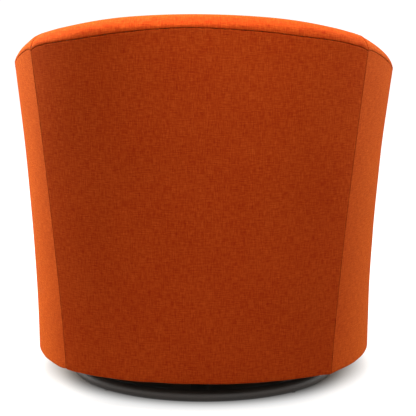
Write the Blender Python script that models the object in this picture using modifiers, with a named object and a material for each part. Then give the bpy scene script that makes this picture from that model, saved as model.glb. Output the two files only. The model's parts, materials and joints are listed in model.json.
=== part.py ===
"""Swivel club chair: a tub of padded walls and a loose seat cushion, turning on a ring base.

Metres, +Z up. The origin is on the floor, on the swivel axis, and the sitter faces -Y. A place in the
walls is given by a station along them, a height and a depth from the outside: station 0 is the middle
of the back, 1 the seam between back and arm, 2 where the arm runs straight and 3 its front end, and
the stations of the sitter's right arm are negative.
"""

import math

import bmesh
import bpy
from mathutils import Matrix, Vector

# Fits and fabrics
GAP = 0.0003
JOIN_SHARE = 0.001
COVER = 0.002
LINER_EASE = 0.0005

# Stations along the walls
REAR, SEAM, SIDE, FRONT = 0, 1, 2, 3
SIDES = ((1, "left"), (-1, "right"))
BACK_STEPS = 16
CORNER_STEPS = 6
ARM_STEPS = 3

# Outside of the walls at the hem and at the top of the back
HEIGHT = 0.786
HEM_Z = 0.058
HEM_HALF_WIDTH = 0.3532
HEM_SEAM_X = 0.2689
HEM_RADIUS = 0.4495
HEM_REAR_Y = 0.3461
TOP_HALF_WIDTH = 0.4272
TOP_SEAM_X = 0.3430
TOP_RADIUS = 0.4631
TOP_REAR_Y = 0.3801
WIDTH_POWER = 2.2
SEAM_POWER = 1.27
CREASE = math.radians(16)

# Inside of the walls at the deck and at the top of the back
DECK_Z = 0.300
DECK_HALF_WIDTH = 0.265
DECK_SEAM_X = 0.190
DECK_RADIUS = 0.360
DECK_REAR_Y = 0.198
IN_TOP_HALF_WIDTH = 0.315
IN_TOP_SEAM_X = 0.250
IN_TOP_RADIUS = 0.380
IN_TOP_REAR_Y = 0.285
BACK_PLUMP = 0.014
ARM_PLUMP = 0.007

# Rim, which is nearly level at the middle of the back, falls round the corners and levels out along the arms
RIM_FALL = 0.150
RIM_RUN = 0.600
RIM_POWER = 2.3
SEAM_DROP = 0.0253
ROLL_OUT = 0.0336
ROLL_DROP = 0.052
ROLL_POWER = 2.3
ROLL_STEPS = 3
WALL_ROWS = 6
SKIN_ROWS = 5

# Boards and timber in the walls
LINER = 0.003
TIMBER = 0.021
TIMBER_DEPTH = 0.0065
FRAME_TUCK = 0.004
BASE_RAIL = 0.070
SEAT_RAIL = 0.070
SEAT_RAIL_THICK = 0.020
TOP_RAIL = 0.060
TOP_RAIL_DROP = 0.022
POST_ROWS = 6
POST_WIDTH_SHARE = 0.12
FRONT_POST_SHARE = 0.16
REAR_POST_SHARE = 0.02
UPRIGHT_SHARE = 0.12
CHORD_EASE = 0.0008

# Padding, webbing and facings
FACING = 0.013
WEBBING = 0.0015
WEBBING_WIDTH = 0.050
WEBBING_SHARES = (0.270, 0.534)

# Springs and deck
WIRE_RADIUS = 0.0019
SPRING_X = (-0.165, -0.055, 0.055, 0.165)
SPRING_HALF_LOOP = 0.024
SPRING_RISE = 0.010
SPRING_HALF_WAVES = 18
SPRING_TAIL = 0.022
LOOP_SHARES = (0.2, 0.8)
FELT = 0.003
DECK_PAD = 0.012
DECK_CLOTH = 0.0015

# Seat cushion: its edge and crown are shares of its plan and of its border's or crown's height
CUSHION_EASE = 0.004
CUSHION_BORDER = 0.122
CUSHION_CROWN = 0.020
CUSHION_CORNER = 0.034
CORNER_ROUND_STEPS = 4
CUSHION_SETBACK = 0.006
FRONT_DRAW = 0.006
FRONT_STEPS = 6
BORDER_SHARES = ((0.965, 0.0), (0.986, 0.06), (0.995, 0.25), (1.0, 0.5), (0.995, 0.75), (0.986, 0.94))
CROWN_SHARES = ((0.955, 0.22), (0.88, 0.50), (0.72, 0.80), (0.50, 0.95), (0.25, 1.0))
FLAT_SHARES = (0.30, 0.70)
SLIDER_WIDTH = 0.008
SLIDER_THICK = 0.003
SLIDER_HEIGHT = 0.012
PULL_WIDTH = 0.005
PULL_THICK = 0.0012
PULL_LENGTH = 0.022

# Ring base
RING_RADIUS = 0.2729
TUBE_RADIUS = 0.0125
TUBE_WALL = 0.0018
RING_SIDES = 48
TUBE_SIDES = 12
BORE_SIDES = 6
BAR_WIDTH = 0.036
BAR_THICK = 0.008
GLIDE = 0.0012
GLIDE_RADIUS = 0.009
STEM_RADIUS = 0.003
STEM = 0.007
GLIDE_TURN_SHARES = (0.125, 0.375, 0.625, 0.875)

# Ball bearing between base and seat
PLATE = 0.003
PLATE_RADIUS = 0.100
DISH_RADIUS = 0.066
DISH_TAPER = 0.008
BEARING_FLOOR_Z = 0.0405
BALL_RADIUS = 0.00475
BALL_PITCH = 0.048
BALLS = 8
CAGE_HALF_WIDTH = 0.0075
CAGE = 0.002
RIVET_RADIUS = 0.008
RIVET_HEAD_RADIUS = 0.014
RIVET_HEAD = 0.005
RUNNING = 0.0008
PLATE_SIDES = 28
BEARER_INNER_X = 0.024
BEARER_WIDTH = 0.082
BEARER = 0.022
BOLT_X = 0.062
BOLT_RADIUS = 0.003
BOLT_HEAD_RADIUS = 0.0065
BOLT_HEAD = 0.005
BOLT_EASE = 0.0005

# Dust cover
DUST_CLOTH = 0.001
DUST_DEPTH = 0.008
DUST_HOLE_EASE = 0.003

# Levels and places worked out from the sizes above
FRAME_Z = HEM_Z + FRAME_TUCK
PLATE_TOP = FRAME_Z - GAP
RING_Z = GLIDE + GAP + TUBE_RADIUS
BAR_TOP = RING_Z + BAR_THICK / 2
BALL_Z = BEARING_FLOOR_Z + GAP + BALL_RADIUS
UPPER_FLOOR_Z = BALL_Z + BALL_RADIUS + GAP
BASE_RAIL_TOP = FRAME_Z + BASE_RAIL
WALL_FOOT_Z = DECK_Z + GAP
FELT_Z = DECK_Z - FELT
SEAT_RAIL_TOP = FELT_Z - GAP
PAD_Z = DECK_Z + GAP
CLOTH_Z = PAD_Z + DECK_PAD + GAP
CUSHION_Z = CLOTH_Z + DECK_CLOTH + GAP
LINER_DEPTH = COVER + LINER_EASE
TIMBER_INSIDE = TIMBER_DEPTH + TIMBER
SEAT_RAIL_DEPTH = TIMBER_INSIDE + LINER_EASE
SEAT_RAIL_Z = SEAT_RAIL_TOP - SEAT_RAIL
FOAM_DEPTH = SEAT_RAIL_DEPTH + WEBBING + LINER_EASE
SEAM_RISE_SHARE = (HEIGHT - SEAM_DROP - HEM_Z) / (HEIGHT - HEM_Z)
REACH = HEM_REAR_Y + (TOP_REAR_Y - HEM_REAR_Y) * SEAM_RISE_SHARE
WALL_FRONT = FACING + GAP - REACH

# Fineness
SHARP_ANGLE = math.radians(35)
DRILL_SIDES = 16
SMALL_SIDES = 12
HALVINGS = 30
ROUNDING = 9
MERGE = 0.00002


def mix(first, last, share):
    return first + (last - first) * share


def steps(first, last, count):
    return [mix(first, last, i / count) for i in range(count + 1)]


def level_outline(station, half_width, seam_x, radius, rear_y, crease):
    """One level of a wall: an arc round the back, an arc round the corner and a straight arm."""
    along = abs(station)
    turn = math.asin(seam_x / radius)
    if along <= SEAM:
        x = radius * math.sin(turn * along)
        y = rear_y - radius * (1 - math.cos(turn * along))
    else:
        start = turn + crease
        corner = (half_width - seam_x) / (1 - math.sin(start))
        heading = mix(start, math.pi / 2, min(along, SIDE) - SEAM)
        x = seam_x + corner * (math.sin(heading) - math.sin(start))
        seam_y = rear_y - radius * (1 - math.cos(turn))
        y = seam_y - corner * (math.cos(start) - math.cos(heading))
        if along > SIDE:
            y = mix(y, WALL_FRONT, along - SIDE)
    return Vector((math.copysign(x, station), y))


def outer(station, z):
    rise = max(z - HEM_Z, 0) / (HEIGHT - HEM_Z)
    half_width = mix(HEM_HALF_WIDTH, TOP_HALF_WIDTH, rise**WIDTH_POWER)
    seam_x = mix(HEM_SEAM_X, TOP_SEAM_X, rise**SEAM_POWER)
    radius = mix(HEM_RADIUS, TOP_RADIUS, rise)
    rear_y = mix(HEM_REAR_Y, TOP_REAR_Y, rise)
    return level_outline(station, half_width, seam_x, radius, rear_y, CREASE)


def inner(station, z):
    rise = max(z - DECK_Z, 0) / (HEIGHT - DECK_Z)
    half_width = mix(DECK_HALF_WIDTH, IN_TOP_HALF_WIDTH, rise)
    seam_x = mix(DECK_SEAM_X, IN_TOP_SEAM_X, rise)
    radius = mix(DECK_RADIUS, IN_TOP_RADIUS, rise)
    rear_y = mix(DECK_REAR_Y, IN_TOP_REAR_Y, rise)
    return level_outline(station, half_width, seam_x, radius, rear_y, 0)


def wall(station, z, depth):
    """The point at this station and height, this deep in the wall from its outside."""
    skin = outer(station, z)
    point = skin + (inner(station, z) - skin).normalized() * depth
    return Vector((point.x, point.y, z))


def rim_run(station):
    """Length along the top of the outside from the middle of the back."""
    points = [outer(abs(station) * share, HEIGHT) for share in steps(0, 1, BACK_STEPS)]
    return sum((after - before).length for before, after in zip(points, points[1:]))


def rim_z(station):
    return HEIGHT - RIM_FALL * (1 - math.exp(-((rim_run(station) / RIM_RUN) ** RIM_POWER)))


def thickness(station, z):
    """Depth of the inside skin, which plumps up between the seams, the deck and the rim."""
    along = abs(station)
    up = (z - DECK_Z) / (rim_z(station) - ROLL_DROP - DECK_Z)
    if along < SEAM:
        plump = BACK_PLUMP * (1 - along**2)
    else:
        plump = ARM_PLUMP * math.sin(math.pi * (along - SEAM) / (FRONT - SEAM))
    swell = plump * math.sin(math.pi * min(max(up, 0), 1))
    return (inner(station, z) - outer(station, z)).length + swell


def quarter(start, middle, rise, reach):
    """A quarter of a rounded arch, as depths and heights from its side up to its top."""
    turns = steps(0, math.pi / 2, ROLL_STEPS)
    across = [round(math.cos(turn), ROUNDING) ** (2 / ROLL_POWER) for turn in turns]
    up = [math.sin(turn) ** (2 / ROLL_POWER) for turn in turns]
    return [(middle + (start - middle) * a, rise + reach * b) for a, b in zip(across, up)]


def rolled_line(station, inset):
    """From the outside seam over the rim and down the inside skin to the felt, this far inside it."""
    top = rim_z(station)
    side = top - ROLL_DROP
    out_side = quarter(inset, ROLL_OUT, top - SEAM_DROP, SEAM_DROP - inset)
    in_side = quarter(thickness(station, side) - inset, ROLL_OUT, side, ROLL_DROP - inset)
    line = [wall(station, z, depth) for depth, z in out_side + in_side[-2::-1]]
    rows = steps(side, WALL_FOOT_Z, SKIN_ROWS)[1:]
    return line + [wall(station, z, thickness(station, z) - inset) for z in rows]


def foam_back_line(station, count):
    """The hidden side of the padding: round the top rail, then down the webbing to the felt."""
    over = rim_z(station) - TOP_RAIL_DROP + GAP
    edge = TIMBER_DEPTH - LINER_EASE
    line = [wall(station, rim_z(station) - SEAM_DROP, edge), wall(station, over, edge)]
    rows = steps(over, WALL_FOOT_Z, count - len(line) - 1)
    return line + [wall(station, z, FOAM_DEPTH) for z in rows]


def back_stations():
    return steps(JOIN_SHARE - SEAM, SEAM - JOIN_SHARE, BACK_STEPS)


def arm_stations(side):
    corner = steps(SEAM + JOIN_SHARE, SIDE, CORNER_STEPS)
    return [side * station for station in corner + steps(SIDE, FRONT, ARM_STEPS)[1:]]


def all_stations():
    left = arm_stations(1)
    return [-station for station in left[::-1]] + back_stations() + left


def back_face_y(x, z, depth):
    """Where a line running back at x meets this depth of the back."""
    near, far = REAR, SEAM
    for _ in range(HALVINGS):
        middle = mix(near, far, 1 / 2)
        if wall(middle, z, depth).x < abs(x):
            near = middle
        else:
            far = middle
    return wall(near, z, depth).y


def clear_scene():
    for item in list(bpy.data.objects):
        bpy.data.objects.remove(item)


def new_collection(name):
    collection = bpy.data.collections.new(name)
    bpy.context.scene.collection.children.link(collection)
    return collection


def finish(name, colour, roughness, metallic=0):
    made = bpy.data.materials.new(name)
    made.use_nodes = True
    shader = made.node_tree.nodes["Principled BSDF"]
    shader.inputs["Base Color"].default_value = (*colour, 1)
    shader.inputs["Roughness"].default_value = roughness
    shader.inputs["Metallic"].default_value = metallic
    made.diffuse_color = (*colour, 1)
    return made


def new_body(name, place=(0, 0, 0)):
    """An empty on the body's joint axis, which carries the body's pieces."""
    body = bpy.data.objects.new(name, None)
    body.location = place
    PIECES.objects.link(body)
    return body


def add_piece(name, data, look, body, place=(0, 0, 0)):
    piece = bpy.data.objects.new(name, data)
    piece.location = place
    piece.parent = body
    data.materials.append(look)
    PIECES.objects.link(piece)
    if piece.type == "MESH":
        data.shade_smooth()
        data.set_sharp_from_angle(angle=SHARP_ANGLE)
    return piece


def mesh_of(name, shape):
    bmesh.ops.recalc_face_normals(shape, faces=shape.faces)
    mesh = bpy.data.meshes.new(name)
    shape.to_mesh(mesh)
    shape.free()
    return mesh


def loft(name, loops, look, body, paired=False):
    """Faces between closed loops of equally many points.

    The first and last loop are filled by one face each. Where the loops run out along one line and
    back along another, the ends are strips of faces between the pairs of points, and twisted faces
    are split alike on both lines, so that layers which lie on each other fit.
    """
    shape = bmesh.new()
    rings = [[shape.verts.new(point - body.location) for point in loop] for loop in loops]
    for before, after in zip(rings, rings[1:]):
        for i in range(len(before)):
            corners = (before[i - 1], before[i], after[i], after[i - 1])
            if paired and i > len(before) // 2:
                corners = corners[1:] + corners[:1]
            if paired:
                shape.faces.new(corners[:3])
                shape.faces.new(corners[2:] + corners[:1])
            else:
                shape.faces.new(corners)
    for ring in (rings[0], rings[-1]):
        if paired:
            out, back = ring[: len(ring) // 2], ring[: len(ring) // 2 - 1 : -1]
            for i in range(1, len(out)):
                shape.faces.new((out[i - 1], out[i], back[i], back[i - 1]))
        else:
            shape.faces.new(ring)
    return add_piece(name, mesh_of(name, shape), look, body)


def wall_piece(name, stations, outside, inside, look, body):
    """A layer of the wall between two lines, each a function of the station."""
    loops = [outside(at) + inside(at)[::-1] for at in stations]
    return loft(name, loops, look, body, paired=True)


def board(name, stations, low, high, depth, thick, rows, look, body):
    """A board that follows the wall; its two heights are functions of the station."""

    def face(deep):
        return lambda at: [wall(at, z, deep) for z in steps(low(at), high(at), rows)]

    return wall_piece(name, stations, face(depth), face(depth + thick), look, body)


def slab(name, outline, low, thick, look, body):
    loops = [[Vector((x, y, z)) for x, y in outline] for z in (low, low + thick)]
    return loft(name, loops, look, body)


def box(name, low, high, look, body):
    outline = [(low[0], low[1]), (high[0], low[1]), (high[0], high[1]), (low[0], high[1])]
    return slab(name, outline, low[2], high[2] - low[2], look, body)


def turned(name, profiles, sides, look, body, place=(0, 0, 0)):
    """Profiles of radius and height, down their outer side, turned about an upright axis."""
    shape = bmesh.new()
    for profile in profiles:
        corners = [shape.verts.new((radius, 0, z)) for radius, z in profile]
        first = 0 if profile[0][0] > 0 else 1
        for i in range(first, len(corners)):
            shape.edges.new((corners[i - 1], corners[i]))
    mesh = bpy.data.meshes.new(name)
    shape.to_mesh(mesh)
    shape.free()
    piece = add_piece(name, mesh, look, body, place)
    screw = piece.modifiers.new("Turn", "SCREW")
    screw.steps = screw.render_steps = sides
    screw.use_smooth_shade = True
    screw.use_merge_vertices = True
    screw.merge_threshold = MERGE
    return piece


def hidden_rods(name, places, radius, low, high, sides):
    """Upright rods in one mesh, which cut holes."""
    shape = bmesh.new()
    for x, y in places:
        moved = Matrix.Translation((x, y, mix(low, high, 1 / 2)))
        bmesh.ops.create_cone(
            shape, cap_ends=True, segments=sides, radius1=radius, radius2=radius,
            depth=high - low, matrix=moved,
        )
    return hidden(name, mesh_of(name, shape))


def hidden(name, mesh):
    helper = bpy.data.objects.new(name, mesh)
    helper.hide_render = True
    helper.display_type = "WIRE"
    HELPERS.objects.link(helper)
    return helper


def combine(piece, helper, operation):
    change = piece.modifiers.new(helper.name, "BOOLEAN")
    change.operation = operation
    change.object = helper


def dished_plate(name, flange_z, floor_z, hole, look, body):
    """A round plate whose middle is pressed up or down to another level."""
    flat_radius = DISH_RADIUS - DISH_TAPER
    under = [(PLATE_RADIUS, flange_z), (DISH_RADIUS, flange_z), (flat_radius, floor_z), (hole, floor_z)]
    over = [(radius, z + PLATE) for radius, z in under[::-1]]
    return turned(name, [under + over], PLATE_SIDES, look, body)


def tube_profile(radius, sides, turn):
    angles = [turn * 2 * math.pi * i / sides for i in range(sides)]
    return [(RING_RADIUS + radius * math.cos(a), RING_Z + radius * math.sin(a)) for a in angles]


def make_base(steel, nylon, zinc, body):
    places = []
    for share in GLIDE_TURN_SHARES:
        angle = 2 * math.pi * share
        places.append((RING_RADIUS * math.cos(angle), RING_RADIUS * math.sin(angle)))
    tube = tube_profile(TUBE_RADIUS, TUBE_SIDES, -1)
    bore = tube_profile(TUBE_RADIUS - TUBE_WALL, BORE_SIDES, 1)
    ring = turned("base_ring", [tube, bore], RING_SIDES, steel, body)
    holes = hidden_rods("stem_holes", places, STEM_RADIUS + GAP, 0, RING_Z, DRILL_SIDES)
    combine(ring, holes, "DIFFERENCE")
    for number, (x, y) in enumerate(places, 1):
        stem_top = GLIDE + GAP + STEM
        profile = [
            (0, stem_top), (STEM_RADIUS, stem_top), (STEM_RADIUS, GLIDE),
            (GLIDE_RADIUS, GLIDE), (GLIDE_RADIUS, 0), (0, 0),
        ]
        turned(f"glide_{number}", [profile], SMALL_SIDES, nylon, body, (x, y, 0))
    inside = (RING_RADIUS - TUBE_RADIUS) * math.cos(math.pi / RING_SIDES) - GAP
    half = BAR_WIDTH / 2
    end = math.sqrt(inside**2 - half**2)
    arm = [(end, -half), (end, half), (half, half)]
    outline = []
    for quarter_turn in range(4):
        for x, y in arm:
            for _ in range(quarter_turn):
                x, y = -y, x
            outline.append((x, y))
    slab("base_cross", outline, RING_Z - BAR_THICK / 2, BAR_THICK, steel, body)
    floor = BEARING_FLOOR_Z - PLATE
    dished_plate("lower_bearing_plate", BAR_TOP + GAP, floor, RIVET_RADIUS + GAP, zinc, body)
    under, over = BEARING_FLOOR_Z - PLATE - GAP, UPPER_FLOOR_Z + PLATE + GAP
    rivet = [
        (0, over + RIVET_HEAD), (RIVET_HEAD_RADIUS, over + RIVET_HEAD), (RIVET_HEAD_RADIUS, over),
        (RIVET_RADIUS, over), (RIVET_RADIUS, under), (RIVET_HEAD_RADIUS, under),
        (RIVET_HEAD_RADIUS, under - RIVET_HEAD), (0, under - RIVET_HEAD),
    ]
    turned("centre_rivet", [rivet], PLATE_SIDES, zinc, body)


def make_cage(zinc, body):
    near, far = BALL_PITCH - CAGE_HALF_WIDTH, BALL_PITCH + CAGE_HALF_WIDTH
    low, high = BALL_Z - CAGE / 2, BALL_Z + CAGE / 2
    washer = [(far, high), (far, low), (near, low), (near, high)]
    cage = turned("ball_cage", [washer], PLATE_SIDES, zinc, body)
    shape = bmesh.new()
    for number in range(BALLS):
        turn = Matrix.Rotation(2 * math.pi * number / BALLS, 4, "Z")
        place = turn @ Matrix.Translation((BALL_PITCH, 0, BALL_Z))
        bmesh.ops.create_icosphere(shape, subdivisions=2, radius=BALL_RADIUS, matrix=place)
    combine(cage, hidden("cage_balls", mesh_of("cage_balls", shape)), "UNION")


def make_bearing_top(zinc, timber, body):
    places = [(x, y) for x in (-BOLT_X, BOLT_X) for y in (-BOLT_X, BOLT_X)]
    hole = BOLT_RADIUS + BOLT_EASE
    flange = PLATE_TOP - PLATE
    plate = dished_plate(
        "upper_bearing_plate", flange, UPPER_FLOOR_Z, RIVET_RADIUS + RUNNING, zinc, body
    )
    holes = hidden_rods("bolt_holes", places, hole, flange - PLATE, FRAME_Z + BEARER + PLATE, DRILL_SIDES)
    combine(plate, holes, "DIFFERENCE")
    for number, (x, y) in enumerate(places, 1):
        top, seat = FRAME_Z + BEARER, flange - GAP
        profile = [
            (0, top), (BOLT_RADIUS, top), (BOLT_RADIUS, seat), (BOLT_HEAD_RADIUS, seat),
            (BOLT_HEAD_RADIUS, seat - BOLT_HEAD), (0, seat - BOLT_HEAD),
        ]
        turned(f"plate_bolt_{number}", [profile], SMALL_SIDES, zinc, body, (x, y, 0))
    front = WALL_FRONT + TIMBER + GAP
    outside = BEARER_INNER_X + BEARER_WIDTH
    rear = back_face_y(outside, FRAME_Z, TIMBER_INSIDE) - CHORD_EASE
    for side, word in SIDES:
        near, far = sorted((side * BEARER_INNER_X, side * outside))
        low, high = (near, front, FRAME_Z), (far, rear, FRAME_Z + BEARER)
        combine(box(f"swivel_bearer_{word}", low, high, timber, body), holes, "DIFFERENCE")


def make_frame(timber, body):
    back, ends = back_stations(), {side: arm_stations(side) for side, _ in SIDES}

    def level(z):
        return lambda at: z

    def rail_high(at):
        return rim_z(at) - TOP_RAIL_DROP

    def rail_low(at):
        return rail_high(at) - TOP_RAIL

    def under_rail(at):
        return rail_low(at) - CHORD_EASE

    def rails(name, stations, low, high, depth, thick):
        board(name, stations, low, high, depth, thick, 1, timber, body)

    def post(name, first, last):
        foot = level(BASE_RAIL_TOP + GAP)
        stations = steps(first, last, 2)
        board(name, stations, foot, under_rail, TIMBER_DEPTH, TIMBER, POST_ROWS, timber, body)

    base, seat = (level(FRAME_Z), level(BASE_RAIL_TOP)), (level(SEAT_RAIL_Z), level(SEAT_RAIL_TOP))
    rails("base_rail_back", back, *base, TIMBER_DEPTH, TIMBER)
    rails("seat_rail_back", back, *seat, SEAT_RAIL_DEPTH, SEAT_RAIL_THICK)
    rails("back_top_rail", back, rail_low, rail_high, TIMBER_DEPTH, TIMBER)
    for side, word in SIDES:
        rails(f"base_rail_{word}", ends[side], *base, TIMBER_DEPTH, TIMBER)
        rails(f"seat_rail_{word}", ends[side], *seat, SEAT_RAIL_DEPTH, SEAT_RAIL_THICK)
        rails(f"arm_top_rail_{word}", ends[side], rail_low, rail_high, TIMBER_DEPTH, TIMBER)
        rear_post = SEAM - REAR_POST_SHARE
        post(f"rear_post_{word}", side * (rear_post - POST_WIDTH_SHARE), side * rear_post)
        post(f"front_post_{word}", side * (FRONT - FRONT_POST_SHARE), side * FRONT)
    post("back_upright", -UPRIGHT_SHARE / 2, UPRIGHT_SHARE / 2)
    half = wall(FRONT, FRAME_Z, TIMBER_INSIDE).x - GAP
    low, high = (-half, WALL_FRONT, FRAME_Z), (half, WALL_FRONT + TIMBER, BASE_RAIL_TOP)
    box("base_rail_front", low, high, timber, body)
    half = wall(FRONT, SEAT_RAIL_Z, SEAT_RAIL_DEPTH + SEAT_RAIL_THICK).x - GAP
    low = (-half, WALL_FRONT, SEAT_RAIL_Z)
    high = (half, WALL_FRONT + SEAT_RAIL_THICK, SEAT_RAIL_TOP)
    box("seat_rail_front", low, high, timber, body)


def make_springs(wire, body):
    """Zigzag wires from the front seat rail to the back one, arched up to the felt."""
    top = FELT_Z - GAP - WIRE_RADIUS
    front = WALL_FRONT + SEAT_RAIL_THICK + GAP
    for number, x in enumerate(SPRING_X, 1):
        rear = back_face_y(x, SEAT_RAIL_Z, SEAT_RAIL_DEPTH + SEAT_RAIL_THICK) - CHORD_EASE
        straight = SPRING_TAIL / 2
        places = [(0, front), (0, front + straight)]
        ys = steps(front + SPRING_TAIL, rear - SPRING_TAIL, SPRING_HALF_WAVES)
        for i, (before, after) in enumerate(zip(ys, ys[1:])):
            side = SPRING_HALF_LOOP * (-1) ** i
            places += [(side, mix(before, after, share)) for share in LOOP_SHARES]
        places += [(0, rear - straight), (0, rear)]
        curve = bpy.data.curves.new(f"seat_spring_{number}", "CURVE")
        curve.dimensions = "3D"
        curve.bevel_depth = WIRE_RADIUS
        curve.bevel_resolution = 1
        curve.use_fill_caps = True
        line = curve.splines.new("POLY")
        line.points.add(len(places) - 1)
        for point, (aside, y) in zip(line.points, places):
            share = (y - front) / (rear - front)
            z = top - SPRING_RISE * (1 - math.sin(math.pi * share))
            point.co = (x + aside, y, z, 1)
        add_piece(f"seat_spring_{number}", curve, wire, body)


def make_deck(felt, foam, black, body):
    stations = all_stations()
    rails = [wall(at, FELT_Z, SEAT_RAIL_DEPTH).xy for at in stations]
    slab("deck_felt", rails, FELT_Z, FELT, felt, body)
    inside = [wall(at, DECK_Z, thickness(at, DECK_Z) + GAP).xy for at in stations]
    slab("deck_pad", inside, PAD_Z, DECK_PAD, foam, body)
    slab("deck_cloth", inside, CLOTH_Z, DECK_CLOTH, black, body)
    under = [wall(at, FRAME_Z, DUST_DEPTH).xy for at in stations]
    cover = slab("dust_cover", under, PLATE_TOP - DUST_CLOTH, DUST_CLOTH, black, body)
    hole = PLATE_RADIUS + DUST_HOLE_EASE
    low, high = HEM_Z, BASE_RAIL_TOP
    combine(cover, hidden_rods("dust_hole", [(0, 0)], hole, low, high, PLATE_SIDES), "DIFFERENCE")


def make_walls(fabric, foam, card, elastic, body):
    zones = [("back", back_stations())]
    zones += [(f"arm_{word}", arm_stations(side)) for side, word in SIDES]

    def seam(at):
        return rim_z(at) - SEAM_DROP - GAP

    for zone, stations in zones:
        panel = (f"outside_{zone}_panel", lambda at: HEM_Z, 0, COVER, fabric)
        liner = (f"outside_{zone}_liner", lambda at: FRAME_Z, LINER_DEPTH, LINER, card)
        for name, low, depth, thick, look in (panel, liner):
            board(name, stations, low, seam, depth, thick, WALL_ROWS, look, body)
        outside, lining = (lambda at, deep=deep: rolled_line(at, deep) for deep in (0, COVER))
        wall_piece(f"inside_{zone}_cover", stations, outside, lining, fabric, body)
        count = len(rolled_line(SEAM, 0))
        wall_piece(
            f"{zone}_foam", stations, lambda at: rolled_line(at, COVER + GAP),
            lambda at: foam_back_line(at, count), foam, body,
        )
    for number, share in enumerate(WEBBING_SHARES, 1):
        z = mix(SEAT_RAIL_TOP, HEIGHT, share)
        board(
            f"back_webbing_{number}", back_stations(), lambda at: z, lambda at: z + WEBBING_WIDTH,
            SEAT_RAIL_DEPTH, WEBBING, 1, elastic, body,
        )


def make_fronts(fabric, foam, body):
    """A padded facing on the end of each arm, and the border between them under the cushion."""
    deck_top = CLOTH_Z + DECK_CLOTH
    for side, word in SIDES:
        at = side * FRONT
        rise = steps(HEM_Z, rim_z(at) - SEAM_DROP, WALL_ROWS)[:-1]
        line = [wall(at, z, 0) for z in rise] + rolled_line(at, 0)
        line.append(Vector((line[-1].x, 0, HEM_Z)))
        loops = [[Vector((p.x, y, p.z)) for p in line] for y in (-REACH, FACING - REACH)]
        loft(f"arm_facing_{word}", loops, fabric, body)
    half = DECK_HALF_WIDTH - GAP
    low, high = (-half, -REACH, HEM_Z), (half, COVER - REACH, deck_top)
    box("front_border_cover", low, high, fabric, body)
    low = (-half, COVER + GAP - REACH, HEM_Z + COVER)
    box("front_border_pad", low, (half, WALL_FRONT - GAP, deck_top - COVER), foam, body)


def cushion_outline():
    """The inside of the walls, with rounded front corners and a front edge drawn in between them."""
    round_back = [station for station in all_stations() if abs(station) <= SIDE]
    sides = [wall(at, DECK_Z, thickness(at, DECK_Z) + CUSHION_EASE).xy for at in round_back]
    width = DECK_HALF_WIDTH - CUSHION_EASE
    front = CUSHION_SETBACK - REACH
    corner = []
    for turn in steps(0, math.pi / 2, CORNER_ROUND_STEPS):
        x = width - CUSHION_CORNER * (1 - math.cos(turn))
        corner.append(Vector((x, front + CUSHION_CORNER * (1 - math.sin(turn)))))
    reach = width - CUSHION_CORNER
    edge = []
    for share in steps(1, -1, FRONT_STEPS)[1:-1]:
        edge.append(Vector((reach * share, front + FRONT_DRAW * (1 - share**2))))
    return sides + corner + edge + [Vector((-p.x, p.y)) for p in corner[::-1]]


def make_cushion(fabric, cushion, zinc, slider):
    outline = cushion_outline()
    middle = sum(outline, Vector((0, 0))) / len(outline)
    edge_z, crown_z = CUSHION_Z, CUSHION_Z + CUSHION_BORDER
    levels = [(share, edge_z) for share in FLAT_SHARES]
    levels += [(plan, edge_z + CUSHION_BORDER * share) for plan, share in BORDER_SHARES]
    levels += [(plan, crown_z + CUSHION_CROWN * share) for plan, share in CROWN_SHARES]
    loops = []
    for plan, z in levels:
        loops.append([(middle + (point - middle) * plan).to_3d() + Vector((0, 0, z)) for point in outline])
    loft("seat_cushion", loops, fabric, cushion)
    face = slider.location.y + DECK_RADIUS - CUSHION_EASE + GAP
    z = slider.location.z
    low = (-SLIDER_WIDTH / 2, face, z - SLIDER_HEIGHT / 2)
    high = (SLIDER_WIDTH / 2, face + SLIDER_THICK, z + SLIDER_HEIGHT / 2)
    body = box("zip_slider", low, high, zinc, slider)
    low = (-PULL_WIDTH / 2, face + SLIDER_THICK - PULL_THICK, z - PULL_LENGTH)
    pull = box("zip_pull", low, (PULL_WIDTH / 2, face + SLIDER_THICK + PULL_THICK, z), zinc, slider)
    PIECES.objects.unlink(pull)
    HELPERS.objects.link(pull)
    pull.hide_render = True
    pull.display_type = "WIRE"
    combine(body, pull, "UNION")


clear_scene()
PIECES = new_collection("Swivel club chair")
HELPERS = new_collection("Cutters")

fabric = finish("orange weave", (0.58, 0.09, 0.012), 0.85)
foam = finish("foam", (0.80, 0.72, 0.45), 0.9)
timber = finish("plywood", (0.55, 0.36, 0.18), 0.7)
card = finish("chipboard", (0.40, 0.30, 0.20), 0.9)
elastic = finish("webbing", (0.60, 0.58, 0.52), 0.8)
felt = finish("felt", (0.25, 0.25, 0.24), 0.95)
black = finish("black cloth", (0.02, 0.02, 0.02), 0.9)
steel = finish("black steel", (0.022, 0.020, 0.020), 0.45, 1)
zinc = finish("zinc plate", (0.62, 0.63, 0.64), 0.35, 1)
wire = finish("spring wire", (0.20, 0.20, 0.21), 0.4, 1)
nylon = finish("nylon", (0.03, 0.03, 0.03), 0.6)

base_body = new_body("base")
cage_body = new_body("bearing_cage")
chair_body = new_body("chair")
cushion_body = new_body("cushion", (0, 0, CUSHION_Z))
slider_z = CUSHION_Z + CUSHION_BORDER / 2
slider_body = new_body("slider", (0, DECK_REAR_Y - DECK_RADIUS, slider_z))

make_base(steel, nylon, zinc, base_body)
make_cage(zinc, cage_body)
make_bearing_top(zinc, timber, chair_body)
make_frame(timber, chair_body)
make_springs(wire, chair_body)
make_deck(felt, foam, black, chair_body)
make_walls(fabric, foam, card, elastic, chair_body)
make_fronts(fabric, foam, chair_body)
make_cushion(fabric, cushion_body, zinc, slider_body)
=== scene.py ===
# %% [markdown]
# # A swivel club chair, dressed
#
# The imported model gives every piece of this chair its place: timber, springs, foam, covers and the
# ring that it turns on. This lesson loads that model, keeps what is rigid, and makes what is soft
# again as cloth and padding. The photograph shows the chair from behind, so the outside of the back
# gets the closest look, and the seat follows what such chairs have.

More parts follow.
